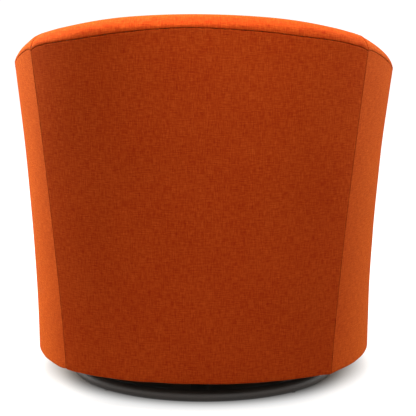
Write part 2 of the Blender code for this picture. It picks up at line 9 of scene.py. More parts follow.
# %% Load the model
import contextlib
import functools
import json
import math

import bmesh
import bpy
import numpy as np
from mathutils import Matrix, Vector, noise
from mathutils.bvhtree import BVHTree

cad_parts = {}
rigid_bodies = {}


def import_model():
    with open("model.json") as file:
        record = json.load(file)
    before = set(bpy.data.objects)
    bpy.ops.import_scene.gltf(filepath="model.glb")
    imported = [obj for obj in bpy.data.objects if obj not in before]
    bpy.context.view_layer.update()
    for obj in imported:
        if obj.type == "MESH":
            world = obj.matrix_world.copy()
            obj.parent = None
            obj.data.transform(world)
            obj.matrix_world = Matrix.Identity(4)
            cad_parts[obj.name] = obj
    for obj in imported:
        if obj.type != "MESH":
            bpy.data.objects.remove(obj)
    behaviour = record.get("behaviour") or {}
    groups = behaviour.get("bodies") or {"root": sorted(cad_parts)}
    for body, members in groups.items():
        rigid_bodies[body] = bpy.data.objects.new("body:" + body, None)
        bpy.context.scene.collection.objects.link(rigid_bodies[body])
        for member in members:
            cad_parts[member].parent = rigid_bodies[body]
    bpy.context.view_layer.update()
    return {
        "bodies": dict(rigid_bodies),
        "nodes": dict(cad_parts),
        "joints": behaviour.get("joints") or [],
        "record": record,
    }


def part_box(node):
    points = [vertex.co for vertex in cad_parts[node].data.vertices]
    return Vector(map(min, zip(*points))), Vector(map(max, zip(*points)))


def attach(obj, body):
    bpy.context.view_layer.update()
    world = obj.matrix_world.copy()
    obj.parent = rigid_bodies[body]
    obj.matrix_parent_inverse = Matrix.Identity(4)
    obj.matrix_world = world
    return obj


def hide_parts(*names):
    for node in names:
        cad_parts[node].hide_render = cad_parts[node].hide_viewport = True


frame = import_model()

nodes = frame["nodes"]

# %% [markdown]
# ## The camera
#
# A camera could be aimed by eye. Here its place was found by fitting the outline, the seams and the
# ring of the photograph, which gave a long lens 3.6 m behind the chair at a standing person's chest
# height. The small shift is the photograph's own framing.

# %% Camera
CAMERA_PLACE, CAMERA_AIM = (-0.149, 3.597, 1.001), (0, 0, 0.350)
LENS, SENSOR, SHIFT = 147.7, 36, 0.0103
NEAREST, FURTHEST = 0.05, 60

def aimed(name, data, place, aim):
    """Puts a camera or a lamp at one place and turns it towards another."""
    piece = bpy.data.objects.new(name, data)
    piece.location = place
    piece.rotation_euler = (Vector(aim) - Vector(place)).to_track_quat("-Z", "Y").to_euler()
    bpy.context.scene.collection.objects.link(piece)
    return piece

lens = bpy.data.cameras.new("camera")
lens.lens, lens.sensor_width, lens.shift_x = LENS, SENSOR, SHIFT
lens.clip_start, lens.clip_end = NEAREST, FURTHEST
bpy.context.scene.camera = aimed("camera", lens, CAMERA_PLACE, CAMERA_AIM)
bpy.context.scene.view_settings.view_transform = "Standard"
print("camera", round(math.dist(CAMERA_PLACE, CAMERA_AIM), 2), "m from what it aims at")

# %% [markdown]
# ## Building a finish from nodes
#
# Each finish is one Principled shader fed by a few textures. Typing every node and link in full hides
# the idea, so a small class adds a node, feeds its sockets and returns its output. Values that are the
# same all over stay on the shader's own sockets.

# %% A helper for finishes
def feed(tree, socket, value):
    """Links a socket to the output of a node, or sets it to a value."""
    if isinstance(value, bpy.types.NodeSocket):
        tree.links.new(value, socket)
    else:
        socket.default_value = value

def add_node(tree, kind, feeds, output=0, **settings):
    """Adds a node, sets it up, feeds its sockets and returns one of its outputs."""
    node = tree.nodes.new("ShaderNode" + kind)
    for name, value in settings.items():
        setattr(node, name, value)
    for name, value in feeds.items():
        feed(tree, node.inputs[name], value)
    return node.outputs[output]

class Finish:
    def __init__(self, name, roughness, **constants):
        self.look = bpy.data.materials.new(name)
        self.look.use_nodes = True
        self.tree = self.look.node_tree
        self.shader = self.tree.nodes["Principled BSDF"]
        self.set("Roughness", roughness)
        for socket, value in constants.items():
            self.set(socket.replace("_", " "), value)

    def set(self, socket, value):
        feed(self.tree, self.shader.inputs[socket], value)

    def add(self, kind, feeds, output=0, **settings):
        return add_node(self.tree, kind, feeds, output, **settings)

    def maths(self, operation, first, second=0.5):
        return self.add("Math", {0: first, 1: second}, operation=operation)

    def blend(self, first, share, second):
        """The first value by its share and the second by the rest."""
        parts = self.maths("MULTIPLY", first, share), self.maths("MULTIPLY", second, 1 - share)
        return self.maths("ADD", *parts)

    def place(self, scale, weave=False):
        """Object coordinates, or the piece's own weave map in metres, stretched by a scale."""
        spot = self.add("UVMap", {}, uv_map="weave") if weave else self.add("TexCoord", {}, "Object")
        scale = scale if isinstance(scale, tuple) else (scale,) * 3
        return self.add("Mapping", {"Vector": spot, "Scale": scale})

    def grain(self, scale, detail=2.0, roughness=0.5, distortion=0.0, weave=False):
        feeds = {"Vector": self.place(scale, weave), "Scale": 1.0, "Detail": detail}
        return self.add("TexNoise", {**feeds, "Roughness": roughness, "Distortion": distortion})

    def cells(self, scale, output=0):
        return self.add("TexVoronoi", {"Vector": self.place(scale), "Scale": 1.0}, output)

    def spread(self, value, low, high, first=0.0, last=1.0, **settings):
        feeds = {"Value": value, "From Min": low, "From Max": high, "To Min": first, "To Max": last}
        return self.add("MapRange", feeds, **settings)

    def colours(self, value, *stops):
        node = self.tree.nodes.new("ShaderNodeValToRGB")
        ramp = node.color_ramp.elements
        while len(ramp) < len(stops):
            ramp.new(0.5)
        for element, (place, colour) in zip(ramp, stops):
            element.position, element.color = place, (*colour, 1)
        feed(self.tree, node.inputs["Fac"], value)
        return node.outputs["Color"]

    def done(self, colour, roughness=None, height=None, strength=0.5, depth=0.001):
        self.set("Base Color", colour)
        if roughness is not None:
            self.set("Roughness", roughness)
        if height is not None:
            bump = {"Height": height, "Strength": strength, "Distance": depth}
            self.set("Normal", self.add("Bump", bump))
        return self.look

# %% [markdown]
# ## The orange cloth
#
# The cover is a linen-like plain weave. Up close there are threads 1.3 mm apart going over and under
# each other. From across a room these melt together, and what is left are slubs: stretches of a
# thicker or brighter thread, a centimetre or two long, running both along and across. A picture of
# cloth could be used, but nodes keep it sharp at any distance: two noises stretched hard in the two
# thread directions give the slubs, and two waves multiplied give the crossing threads. All of it is
# laid out on a map in metres, which every cloth piece carries with it.

# %% The orange cloth
THREAD_PITCH = 0.0013
# The seams' colour multiplier is painted shade: it darkens the cloth in the groove of each seam.
SEAM_PAINTED_SHADE = (0.36, 0.30, 0.30)
SLUBS_ACROSS, SLUBS_ALONG, MELANGE, BROAD = (60, 480, 1), (460, 56, 1), (210, 210, 1), (9, 9, 1)
MELANGE_TONE, BROAD_TONE, THREAD_TONE = 0.06, 0.035, 0.03

def make_orange_weave():
    cloth = Finish(
        "orange weave", 0.85, Specular_IOR_Level=0.02, Sheen_Weight=0.4, Sheen_Roughness=0.38,
        Sheen_Tint=(1.0, 0.37, 0.04, 1),
    )
    across = cloth.grain(SLUBS_ACROSS, roughness=0.6, weave=True)
    along = cloth.grain(SLUBS_ALONG, roughness=0.6, weave=True)
    melange = cloth.grain(MELANGE, detail=3, roughness=0.8, weave=True)
    broad = cloth.grain(BROAD, weave=True)
    turn = math.pi / THREAD_PITCH
    spot = cloth.add("SeparateXYZ", {"Vector": cloth.place((turn, turn, 1), weave=True)}).node.outputs
    threads = cloth.maths("MULTIPLY", cloth.maths("SINE", spot["X"]), cloth.maths("SINE", spot["Y"]))
    slubs = cloth.maths("ADD", across, along)
    tone = cloth.maths("MULTIPLY_ADD", slubs, 0.5)
    for part, low, high, most in (
        (melange, 0.25, 0.75, MELANGE_TONE), (broad, 0.2, 0.8, BROAD_TONE), (threads, -1, 1, THREAD_TONE),
    ):
        tone = cloth.maths("ADD", tone, cloth.spread(part, low, high, -most, most))
    colour = cloth.colours(
        cloth.spread(tone, 0.75, 1.25),
        (0.0, (0.38, 0.016, 0.005)), (0.5, (0.55, 0.060, 0.007)), (1.0, (0.72, 0.122, 0.016)),
    )
    # Painted shade: within about a millimetre of a seam the colour is multiplied darker, as if the groove
    # were in shadow.
    seam = cloth.add("SeparateXYZ", {"Vector": cloth.add("UVMap", {}, uv_map="seam")}, "X")
    shade = {0: seam, 6: colour, 7: (*SEAM_PAINTED_SHADE, 1)}
    colour = cloth.add("Mix", shade, output=2, data_type="RGBA", blend_type="MULTIPLY")
    height = cloth.maths("ADD", cloth.maths("MULTIPLY", slubs, 0.6), cloth.maths("MULTIPLY", threads, 0.35))
    return cloth.done(colour, cloth.spread(slubs, 0.7, 1.3, 0.92, 0.76), height, 0.55, 0.0009)

orange_weave = make_orange_weave()
print("threads", THREAD_PITCH * 1000, "mm apart")

# %% [markdown]
# ## The finishes inside and below
#
# Nobody sees the frame of a finished chair, but it is still made of something: plywood shows grain and
# pale plies, the liner is grey-brown board, foam has cells, felt is a mat of mixed fibres. Below, the
# ring is steel with a black powder coat, which is slightly pebbled, and the bearing is zinc plated.

# %% Timber, board and foam
def make_plywood():
    wood = Finish("plywood", 0.6, Specular_IOR_Level=0.3)
    grain = wood.grain((3, 3, 90), detail=6, roughness=0.65, distortion=0.6)
    colour = wood.colours(
        wood.blend(grain, 0.7, wood.grain((14, 14, 5), detail=3)),
        (0.32, (0.30, 0.17, 0.07)), (0.5, (0.52, 0.34, 0.17)), (0.68, (0.66, 0.48, 0.28)),
    )
    return wood.done(colour, wood.spread(grain, 0.3, 0.7, 0.5, 0.75), grain, 0.4, 0.0006)

def make_chipboard():
    board = Finish("liner board", 0.9)
    flakes = board.grain(240, detail=3)
    tone = board.blend(flakes, 0.6, board.grain(12))
    colour = board.colours(tone, (0.35, (0.20, 0.14, 0.09)), (0.65, (0.42, 0.32, 0.22)))
    return board.done(colour, None, flakes, 0.4, 0.0004)

def make_foam():
    foam = Finish("foam", 0.95, Subsurface_Weight=0.15)
    cells = foam.cells(420)
    broad = foam.maths("MULTIPLY", foam.grain(7), 0.4)
    tone = foam.maths("ADD", foam.spread(cells, 0, 0.6, 0, 0.6), broad)
    colour = foam.colours(tone, (0.2, (0.62, 0.50, 0.25)), (0.8, (0.88, 0.80, 0.55)))
    return foam.done(colour, None, cells, 0.6, 0.0008)

plywood, chipboard, foam = make_plywood(), make_chipboard(), make_foam()
print("plywood, liner board and foam")

# %% Felt, webbing and black cloth
def make_felt():
    felt = Finish("felt", 0.98, Sheen_Weight=0.2)
    fibres = felt.grain(160, detail=5, roughness=0.75, distortion=1.5)
    colour = felt.colours(
        felt.blend(fibres, 0.6, felt.grain(420, detail=1)), (0.35, (0.10, 0.10, 0.11)),
        (0.5, (0.25, 0.24, 0.23)), (0.6, (0.40, 0.30, 0.26)), (0.7, (0.52, 0.52, 0.50)),
    )
    return felt.done(colour, None, fibres, 0.7, 0.001)

def make_webbing():
    strap = Finish("webbing", 0.85, Sheen_Weight=0.1)
    wave = {"Vector": strap.place(1), "Scale": 70.0, "Distortion": 0.3}
    ribs = strap.add("TexWave", wave, 1, bands_direction="Z")
    tone = strap.blend(ribs, 0.4, strap.grain((60, 60, 900), detail=3))
    colour = strap.colours(tone, (0.2, (0.34, 0.32, 0.27)), (0.8, (0.74, 0.71, 0.62)))
    return strap.done(colour, None, tone, 0.5, 0.0005)

def make_black_cloth():
    cloth = Finish("black cloth", 0.9, Sheen_Weight=0.08, Sheen_Roughness=0.6)
    fibres = cloth.grain(300, detail=4, roughness=0.7, distortion=1.0)
    dots = cloth.spread(cloth.cells(500), 0, 0.6, 0, 0.5)
    tone = cloth.maths("ADD", dots, cloth.maths("MULTIPLY", fibres, 0.5))
    colour = cloth.colours(tone, (0.25, (0.012, 0.012, 0.013)), (0.8, (0.040, 0.040, 0.042)))
    return cloth.done(colour, None, tone, 0.5, 0.0004)

felt, webbing, black_cloth = make_felt(), make_webbing(), make_black_cloth()
print("felt, webbing and black cloth")

# %% Steel, zinc, spring wire and nylon
def make_black_steel():
    steel = Finish("black steel", 0.42, Specular_IOR_Level=0.5, Coat_Weight=0.15, Coat_Roughness=0.35)
    dust = steel.grain(16, detail=4, roughness=0.7)
    colour = steel.colours(dust, (0.35, (0.042, 0.031, 0.024)), (0.7, (0.072, 0.054, 0.044)))
    return steel.done(colour, steel.spread(dust, 0.3, 0.7, 0.36, 0.55), steel.grain(700), 0.25, 0.0003)

def make_zinc():
    zinc = Finish("zinc plate", 0.35, Metallic=1.0)
    haze = zinc.grain(30, detail=4)
    tone = zinc.blend(zinc.cells(90, output=1), 0.35, haze)
    colour = zinc.colours(tone, (0.3, (0.42, 0.43, 0.44)), (0.7, (0.68, 0.69, 0.70)))
    return zinc.done(colour, zinc.spread(haze, 0.3, 0.7, 0.28, 0.48), haze, 0.1, 0.0003)

def make_scuffed(name, roughness, scale, stops, shine, **constants):
    """A finish whose colour, shine and height all follow one noise."""
    look = Finish(name, roughness, **constants)
    scuffs = look.grain(scale, detail=4, roughness=0.7)
    shine = look.spread(scuffs, 0.3, 0.7, *shine)
    return look.done(look.colours(scuffs, *stops), shine, scuffs, 0.2, 0.0002)

black_steel, zinc_plate = make_black_steel(), make_zinc()
spring_wire = make_scuffed(
    "spring wire", 0.4, 260, ((0.3, (0.10, 0.10, 0.11)), (0.7, (0.30, 0.29, 0.28))), (0.3, 0.6), Metallic=1.0
)
nylon = make_scuffed(
    "nylon", 0.5, (120, 120, 500), ((0.35, (0.020,) * 3), (0.7, (0.060,) * 3)), (0.4, 0.65),
    Subsurface_Weight=0.05,
)
pale_nylon = make_scuffed(
    "pale nylon", 0.45, 300, ((0.35, (0.50, 0.49, 0.46)), (0.7, (0.68, 0.67, 0.64))), (0.35, 0.6),
    Subsurface_Weight=0.2, Subsurface_Radius=(0.004, 0.004, 0.004),
)
print("steel, zinc, spring wire and nylon")

# %% [markdown]
# ## Finishes on the pieces that stay
#
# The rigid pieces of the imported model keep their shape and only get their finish. The record names a
# material slot for each of them, so the slot decides.

# %% Give the rigid pieces their finish
SLOT_FINISHES = {
    "orange_weave": orange_weave, "foam": foam, "plywood": plywood, "chipboard": chipboard,
    "webbing": webbing, "felt": felt, "black_cloth": black_cloth, "black_steel": black_steel,
    "zinc_steel": zinc_plate, "spring_wire": spring_wire, "nylon": pale_nylon,
}
slot_of = {part["node"]: part["material_slot"] for part in frame["record"]["subparts"]}
for name, node in nodes.items():
    node.data.materials.clear()
    node.data.materials.append(SLOT_FINISHES[slot_of[name]])
print(sorted(set(slot_of.values())))

# %% [markdown]
# ## The room
#
# The photograph has a white studio: a white floor that fades into a white wall, and little light from
# behind the camera, so the back of the chair is darker than its sides. Two softboxes stand beyond the
# chair and light its sides, and a strip hangs above the rim. The floor is an ordinary matt surface that
# takes the shadow, with a glow added only for what the camera sees, so that it ends up white without
# more light on the chair. Part of that glow is painted light and shade: none of it reaches the ring, so
# the floor round the chair keeps a painted shade, and it starts nearer the chair on the camera's side,
# which paints the floor there brighter.

# %% Floor
# The first rise is painted light and shade: it leaves the floor next to the ring without glow, and its
# centre lies towards the chair's front, so on the camera's side the glow starts nearer the ring. The second
# rise whitens the far floor.
GLOW_CENTRE = (0, -0.05, 0)
GLOW_RISES = ((0.290, 0.380, 0.88), (0.8, 4.0, 0.12))
# The floor's warm colour is painted light: it gives the shade round the chair the orange cast of light
# thrown back from the chair.
FLOOR_COLOUR, FLOOR_RADIUS = (0.34, 0.29, 0.25, 1), 14
WHITE = (1, 1, 1, 1)

def seen_by_camera(tree):
    rays = add_node(tree, "LightPath", {}).node.outputs
    total = rays["Is Camera Ray"]
    for other in ("Is Glossy Ray", "Is Transmission Ray"):
        total = add_node(tree, "Math", {0: total, 1: rays[other]}, operation="MAXIMUM")
    return total

def make_floor():
    floor = Finish("studio floor", 0.9, Specular_IOR_Level=0.0, Emission_Color=WHITE)
    # Painted light and shade: the glow grows with the distance from a centre near the chair.
    feeds = {0: floor.add("TexCoord", {}, "Object"), 1: GLOW_CENTRE}
    away = floor.add("VectorMath", feeds, "Value", operation="DISTANCE")
    rises = [
        floor.spread(away, near, far, 0, most, interpolation_type="SMOOTHSTEP")
        for near, far, most in GLOW_RISES
    ]
    glow = floor.maths("MULTIPLY", seen_by_camera(floor.tree), floor.maths("ADD", *rises))
    floor.set("Emission Strength", glow)
    return floor.done(FLOOR_COLOUR)

bpy.ops.mesh.primitive_circle_add(vertices=64, radius=FLOOR_RADIUS, fill_type="NGON", location=(0, 0, 0))
floor = bpy.context.object
floor.name = "floor"
floor.data.materials.append(make_floor())
print("floor", 2 * FLOOR_RADIUS, "m across")

# %% World and lamps
WORLD_FILL = 0.26

world = bpy.data.worlds.new("studio")
bpy.context.scene.world = world
world.use_nodes = True
sky = world.node_tree.nodes["Background"]
sky.inputs["Color"].default_value = WHITE
fill = {"Value": seen_by_camera(world.node_tree), "To Min": WORLD_FILL, "To Max": 1.0}
feed(world.node_tree, sky.inputs["Strength"], add_node(world.node_tree, "MapRange", fill))

for name, place, aim, width, height, power in (
    ("left softbox", (2.44, -1.32, 1.6), (0, 0, 0.5), 1.4, 1.4, 148),
    ("right softbox", (-2.38, -1.42, 1.6), (0, 0, 0.5), 1.4, 1.4, 92),
    ("strip above the rim", (0.15, 0.42, 1.75), (0.10, 0.37, 0.7), 1.9, 0.35, 37),
):
    lamp = bpy.data.lights.new(name, "AREA")
    lamp.shape, lamp.size, lamp.size_y, lamp.energy = "RECTANGLE", width, height, power
    aimed(name, lamp, place, aim)
print("3 soft lights and a fill of", WORLD_FILL)

# %% [markdown]
# ## How the walls are measured
#
# The walls of the tub run from the front of one arm round the back to the front of the other. A place
# on them is given by a station along the wall, a height and a depth: station 0 is the middle of the
# back, 1 the seam between back and arm, 2 where the arm turns straight and 3 its front end. Negative
# stations are the sitter's right arm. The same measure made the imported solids, so cloth that is laid
# out on it lies exactly where the solids are.

# %% Sizes of the walls
HEIGHT, HEM_Z = 0.786, 0.058
HEM = {"half_width": 0.3532, "seam_x": 0.2689, "radius": 0.4495, "rear_y": 0.3461}
TOP = {"half_width": 0.4272, "seam_x": 0.3430, "radius": 0.4631, "rear_y": 0.3801}
POWERS = {"half_width": 2.2, "seam_x": 1.27, "radius": 1, "rear_y": 1}
DECK_Z = 0.300
DECK = {"half_width": 0.265, "seam_x": 0.190, "radius": 0.360, "rear_y": 0.198}
INSIDE_TOP = {"half_width": 0.315, "seam_x": 0.250, "radius": 0.380, "rear_y": 0.285}
CREASE = math.radians(16)
SEAM, SIDE, FRONT = 1, 2, 3
BACK_PLUMP, ARM_PLUMP = 0.014, 0.007
RIM_FALL, RIM_RUN, RIM_POWER = 0.150, 0.600, 2.3
SEAM_DROP, ROLL_OUT, ROLL_DROP = 0.0253, 0.0336, 0.052
OUTSIDE_POWER, INSIDE_POWER = 1.78, 2.3
SEAM_WANDER = (
    (-3.0, 0.0), (-1.4, 0.001), (-0.95, 0.0035), (-0.78, 0.0022), (-0.55, 0.0044), (-0.33, 0.0016),
    (0.05, -0.0028), (0.40, 0.0032), (0.62, 0.0070), (0.80, 0.0048), (1.0, 0.0025), (1.4, 0.0), (3.0, 0.0),
)
CORNER_DIPS, CORNER_RUN = (0.005, 0.008), 0.026
REACH = -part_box("arm_facing_left")[0].y
WALL_FRONT = 0.0133 - REACH

def mix(first, last, share):
    return first + (last - first) * share

def steps(first, last, count):
    return [mix(first, last, i / count) for i in range(count + 1)]

# %% A point of the wall
def level_outline(station, half_width, seam_x, radius, rear_y, crease):
    """One level of a wall: an arc round the back, an arc round the corner and a straight arm."""
    along = abs(station)
    turn = math.asin(seam_x / radius)
    if along <= SEAM:
        x = radius * math.sin(turn * along)
        y = rear_y - radius * (1 - math.cos(turn * along))
    else:
        start = turn + crease
        corner = (half_width - seam_x) / (1 - math.sin(start))
        heading = mix(start, math.pi / 2, min(along, SIDE) - SEAM)
        x = seam_x + corner * (math.sin(heading) - math.sin(start))
        y = rear_y - radius * (1 - math.cos(turn)) - corner * (math.cos(start) - math.cos(heading))
        if along > SIDE:
            y = mix(y, WALL_FRONT, along - SIDE)
    return Vector((math.copysign(x, station), y))

def outer(station, z):
    rise = max(z - HEM_Z, 0) / (HEIGHT - HEM_Z)
    level = {name: mix(HEM[name], TOP[name], rise ** POWERS[name]) for name in HEM}
    return level_outline(station, **level, crease=CREASE)

def inner(station, z):
    rise = max(z - DECK_Z, 0) / (HEIGHT - DECK_Z)
    level = {name: mix(DECK[name], INSIDE_TOP[name], rise) for name in DECK}
    return level_outline(station, **level, crease=0)

def wall(station, z, depth):
    skin = outer(station, z)
    point = skin + (inner(station, z) - skin).normalized() * depth
    return Vector((point.x, point.y, z))

@functools.cache
def rim_z(station):
    points = [outer(abs(station) * share, HEIGHT) for share in steps(0, 1, 16)]
    run = sum((after - before).length for before, after in zip(points, points[1:]))
    return HEIGHT - RIM_FALL * (1 - math.exp(-((run / RIM_RUN) ** RIM_POWER)))

@functools.cache
def seam_drop(station):
    """How far the outside seam lies below the rim. It is sewn by hand, so it wanders a few millimetres."""
    places, drops = zip(*SEAM_WANDER)
    near = [station + shift for shift in steps(-0.08, 0.08, 8)]
    dip = CORNER_DIPS[int(station > 0)] * math.exp(-abs(abs(station) - SEAM) / CORNER_RUN)
    return SEAM_DROP + float(np.mean(np.interp(near, places, drops))) + dip

print("rim at the middle, seam, side and front:", [round(rim_z(at), 3) for at in (0, 1, 2, 3)])

# %% [markdown]
# The padding plumps towards the sitter between its seams, and the inside cover rolls over the rim down
# to the outside seam. Depth and height along that roll are two quarters of a rounded arch.

# %% The inside skin and the roll over the rim
def thickness(station, z):
    along = abs(station)
    up = (z - DECK_Z) / (rim_z(station) - ROLL_DROP - DECK_Z)
    if along < SEAM:
        plump = BACK_PLUMP * (1 - along**2)
    else:
        plump = ARM_PLUMP * math.sin(math.pi * (along - SEAM) / (FRONT - SEAM))
    swell = plump * math.sin(math.pi * min(max(up, 0), 1))
    return (inner(station, z) - outer(station, z)).length + swell

def arch(turn, start, rise, reach, power):
    """Depth and height on a quarter of the arch, from its side at 0 to its top at a right angle."""
    across = max(math.cos(turn), 0) ** (2 / power)
    return ROLL_OUT + (start - ROLL_OUT) * across, rise + reach * math.sin(turn) ** (2 / power)

def rolled_line(station, outside_rows, inside_rows, skin_rows, foot):
    """From the outside seam over the rim and down the inside skin."""
    top = rim_z(station)
    side, drop = top - ROLL_DROP, seam_drop(station)
    turns = steps(0, math.pi / 2, outside_rows)
    line = [arch(turn, 0, top - drop, drop, OUTSIDE_POWER) for turn in turns]
    turns = steps(math.pi / 2, 0, inside_rows)[1:]
    line += [arch(turn, thickness(station, side), side, ROLL_DROP, INSIDE_POWER) for turn in turns]
    line += [(thickness(station, z), z) for z in steps(side, foot, skin_rows)[1:]]
    return [wall(station, z, depth) for depth, z in line]

print("inside depth at the middle of the back:", round(thickness(0, 0.5), 3))

# %% [markdown]
# ## Cloth as a grid
#
# A cover is a flat grid that is laid on the chair point by point: its columns are stations and its rows
# run up the wall. A remeshed or sculpted skin could have the same shape, but on a grid the seams stay
# on its edges, and the map of the weave comes from the lengths along rows and columns. Seams need more
# points than the middle of a panel, so columns and rows crowd together there.

# %% Spacing points between two seams
CLOTH = 0.0012
CELL = 0.0055
SEAM_ROUND = 0.0015
EDGE_PLACES = (0.0, 0.0003, 0.0007, 0.0011, 0.0016, 0.0030, 0.0056)

def spaced(length, cell=CELL, first=True, last=True):
    """Places from 0 to a length, a cell apart, and closer where there is a seam."""
    low = list(EDGE_PLACES) if first else [0.0]
    high = [length - place for place in reversed(EDGE_PLACES)] if last else [length]
    count = max(2, round((high[0] - low[-1]) / cell))
    return low + steps(low[-1], high[0], count)[1:-1] + high

def normals_of(points):
    normals = np.cross(np.gradient(points, axis=0), np.gradient(points, axis=1))
    return normals / np.maximum(np.linalg.norm(normals, axis=2, keepdims=True), 1e-12)

def lengths(points, axis=0):
    """How far each point lies along its line, or along its row or column of a grid."""
    run = np.linalg.norm(np.diff(points, axis=axis), axis=-1).cumsum(axis=axis)
    return np.insert(run, 0, 0, axis=axis)

def weave_chart(points):
    """Where each point lies on the flat cloth, in metres."""
    across, along = lengths(points, 0), lengths(points, 1)
    return np.stack([across - across[len(points) // 2], along], axis=2)

print("a metre of cloth has", len(spaced(1.0)), "columns")

# %% Reading and moving the points of a mesh
def vertex_values(mesh, field):
    """The places or normals of a mesh's vertices, one row each."""
    values = np.empty(len(mesh.vertices) * 3)
    mesh.vertices.foreach_get(field, values)
    return values.reshape(-1, 3)

def corner_vertices(mesh):
    corners = np.empty(len(mesh.loops), np.int32)
    mesh.loops.foreach_get("vertex_index", corners)
    return corners

def move_to(piece, points):
    piece.data.vertices.foreach_set("co", points.ravel())
    piece.data.update()

def new_piece(name, mesh):
    piece = bpy.data.objects.new(name, mesh)
    bpy.context.scene.collection.objects.link(piece)
    return piece

# %% Modifiers, edit mode and the last steps of a piece
SMOOTH_BELOW = math.radians(40)

def apply_modifier(piece, kind, **settings):
    modifier = piece.modifiers.new(kind.lower(), kind)
    for name, value in settings.items():
        setattr(modifier, name, value)
    bpy.context.view_layer.objects.active = piece
    bpy.ops.object.modifier_apply(modifier=modifier.name)

def in_place(name):
    """Names the piece that was just added, and moves its place and size into its mesh."""
    piece = bpy.context.object
    piece.name = piece.data.name = name
    bpy.ops.object.transform_apply(location=True, rotation=True, scale=True)
    return piece

def bevel(piece, width, segments=2, angle=50):
    """Rounds the edges that are sharper than an angle."""
    sharp = math.radians(angle)
    apply_modifier(piece, "BEVEL", width=width, segments=segments, limit_method="ANGLE", angle_limit=sharp)

def select_only(piece):
    bpy.ops.object.select_all(action="DESELECT")
    piece.select_set(True)
    bpy.context.view_layer.objects.active = piece

@contextlib.contextmanager
def edit_mode():
    """Edit mode with everything selected, and object mode again afterwards."""
    bpy.ops.object.mode_set(mode="EDIT")
    bpy.ops.mesh.select_all(action="SELECT")
    yield
    bpy.ops.object.mode_set(mode="OBJECT")

def finish_piece(piece, body, slot, node=None, look=None):
    """Gives a piece the finish of its slot, or its own, puts it on its body, and hides the node that it
    stands for.
    """
    piece.data.materials.clear()
    piece.data.materials.append(look or SLOT_FINISHES[slot])
    select_only(piece)
    bpy.ops.object.shade_smooth_by_angle(angle=SMOOTH_BELOW)
    piece.select_set(False)
    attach(piece, body)
    if node:
        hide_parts(node)
    print(piece.name, len(piece.data.polygons), "faces")

# %% Lay a grid of points as cloth
def lay_cloth(name, points, chart=None):
    """A grid with these points, and for each of its vertices the column and row that it has there."""
    columns, rows = points.shape[0] - 1, points.shape[1] - 1
    bpy.ops.mesh.primitive_grid_add(x_subdivisions=columns, y_subdivisions=rows, size=2)
    piece = bpy.context.object
    piece.name = piece.data.name = name
    flat = vertex_values(piece.data, "co")
    column = np.rint((flat[:, 0] + 1) / 2 * columns).astype(int)
    row = np.rint((flat[:, 1] + 1) / 2 * rows).astype(int)
    chart = weave_chart(points) if chart is None else chart
    weave = piece.data.uv_layers[0]
    weave.name = "weave"
    weave.data.foreach_set("uv", chart[column, row][corner_vertices(piece.data)].ravel())
    move_to(piece, points[column, row])
    return piece, (column, row)

def finish_cover(piece, node, slot="orange_weave"):
    """Gives a laid cloth its thickness and finish, and hides the node that it stands for."""
    apply_modifier(piece, "SOLIDIFY", thickness=CLOTH, offset=-1, use_even_offset=True)
    finish_piece(piece, "chair", slot, node)

# %% [markdown]
# Tight cloth is never quite even. It waves a little over the padding under it, and next to a seam the
# stitches pull it into small puckers. Both are noise, moved along the surface's own direction, and
# both fade: the waves towards every edge, and the puckers a centimetre or two away from the seam.

# %% Waves and puckers
PUCKER, PUCKER_FADE, PUCKER_PITCH = 0.00055, 0.011, 0.017
WAVE, WAVE_PITCH, WAVE_FADE = 0.0011, 0.13, 0.03
GROOVE_WIDTH = 0.0009

def round_down(distance, radius=SEAM_ROUND):
    """How far a rounded edge lies below its surface, this far from the seam."""
    near = np.clip(radius - distance, 0, radius)
    return radius - np.sqrt(np.maximum(radius**2 - near**2, 0))

def noise_field(chart, pitch, seed):
    """Smooth noise between -1 and 1 over a chart, with bumps about a pitch apart."""
    return np.array([[noise.noise((x / pitch, y / pitch, seed)) for x, y in column] for column in chart])

def cloth_relief(chart, from_seam, seed, wave=WAVE):
    """Height above the smooth surface: broad waves, and puckers along the seams."""
    waves = wave * noise_field(chart, WAVE_PITCH, seed) * np.clip(from_seam / WAVE_FADE, 0, 1) ** 2
    stitches = noise_field(chart, PUCKER_PITCH, seed + 5)
    return waves + PUCKER * stitches * np.exp(-from_seam / PUCKER_FADE)

def inward_at(station, z):
    """The level direction from the outside of the wall to its inside."""
    return wall(station, z, 0.05) - wall(station, z, 0)

def raised(points, relief, ends=()):
    """Moves points along their normals, which at a seam stay in its plane, so that two panels meet there."""
    normals = normals_of(points)
    for column, station in zip((0, -1), ends):
        for row, place in enumerate(points[column]):
            into = inward_at(station, place[2])
            aside = np.array(into.cross(Vector((0, 0, 1))).normalized())
            normal = normals[column, row] - aside * (normals[column, row] @ aside)
            normals[column, row] = normal / np.linalg.norm(normal)
    return points + normals * relief[:, :, None]

def near_seam(distance):
    """1 on a seam and 0 a few millimetres away."""
    return np.exp(-((distance / GROOVE_WIDTH) ** 2))

def painted_seam_shade_map(piece, near):
    """Tells the finish how near a seam each point is, for the painted shade in the groove of each seam."""
    values = near[corner_vertices(piece.data)]
    values = np.stack([values, np.zeros(len(values))], axis=1)
    piece.data.uv_layers.new(name="seam").data.foreach_set("uv", values.ravel())

print("waves of", WAVE * 1000, "mm and puckers of", PUCKER * 1000, "mm")

# %% [markdown]
# ## The outside of the back and the arms
#
# Three panels are stretched over board, one behind the back and one round each arm. They meet in plain
# seams with a slight crease, end in the seam under the rim, and are folded in under the frame at the
# bottom. They could be one skin with painted seams, but each is its own sheet here, as it is cut.

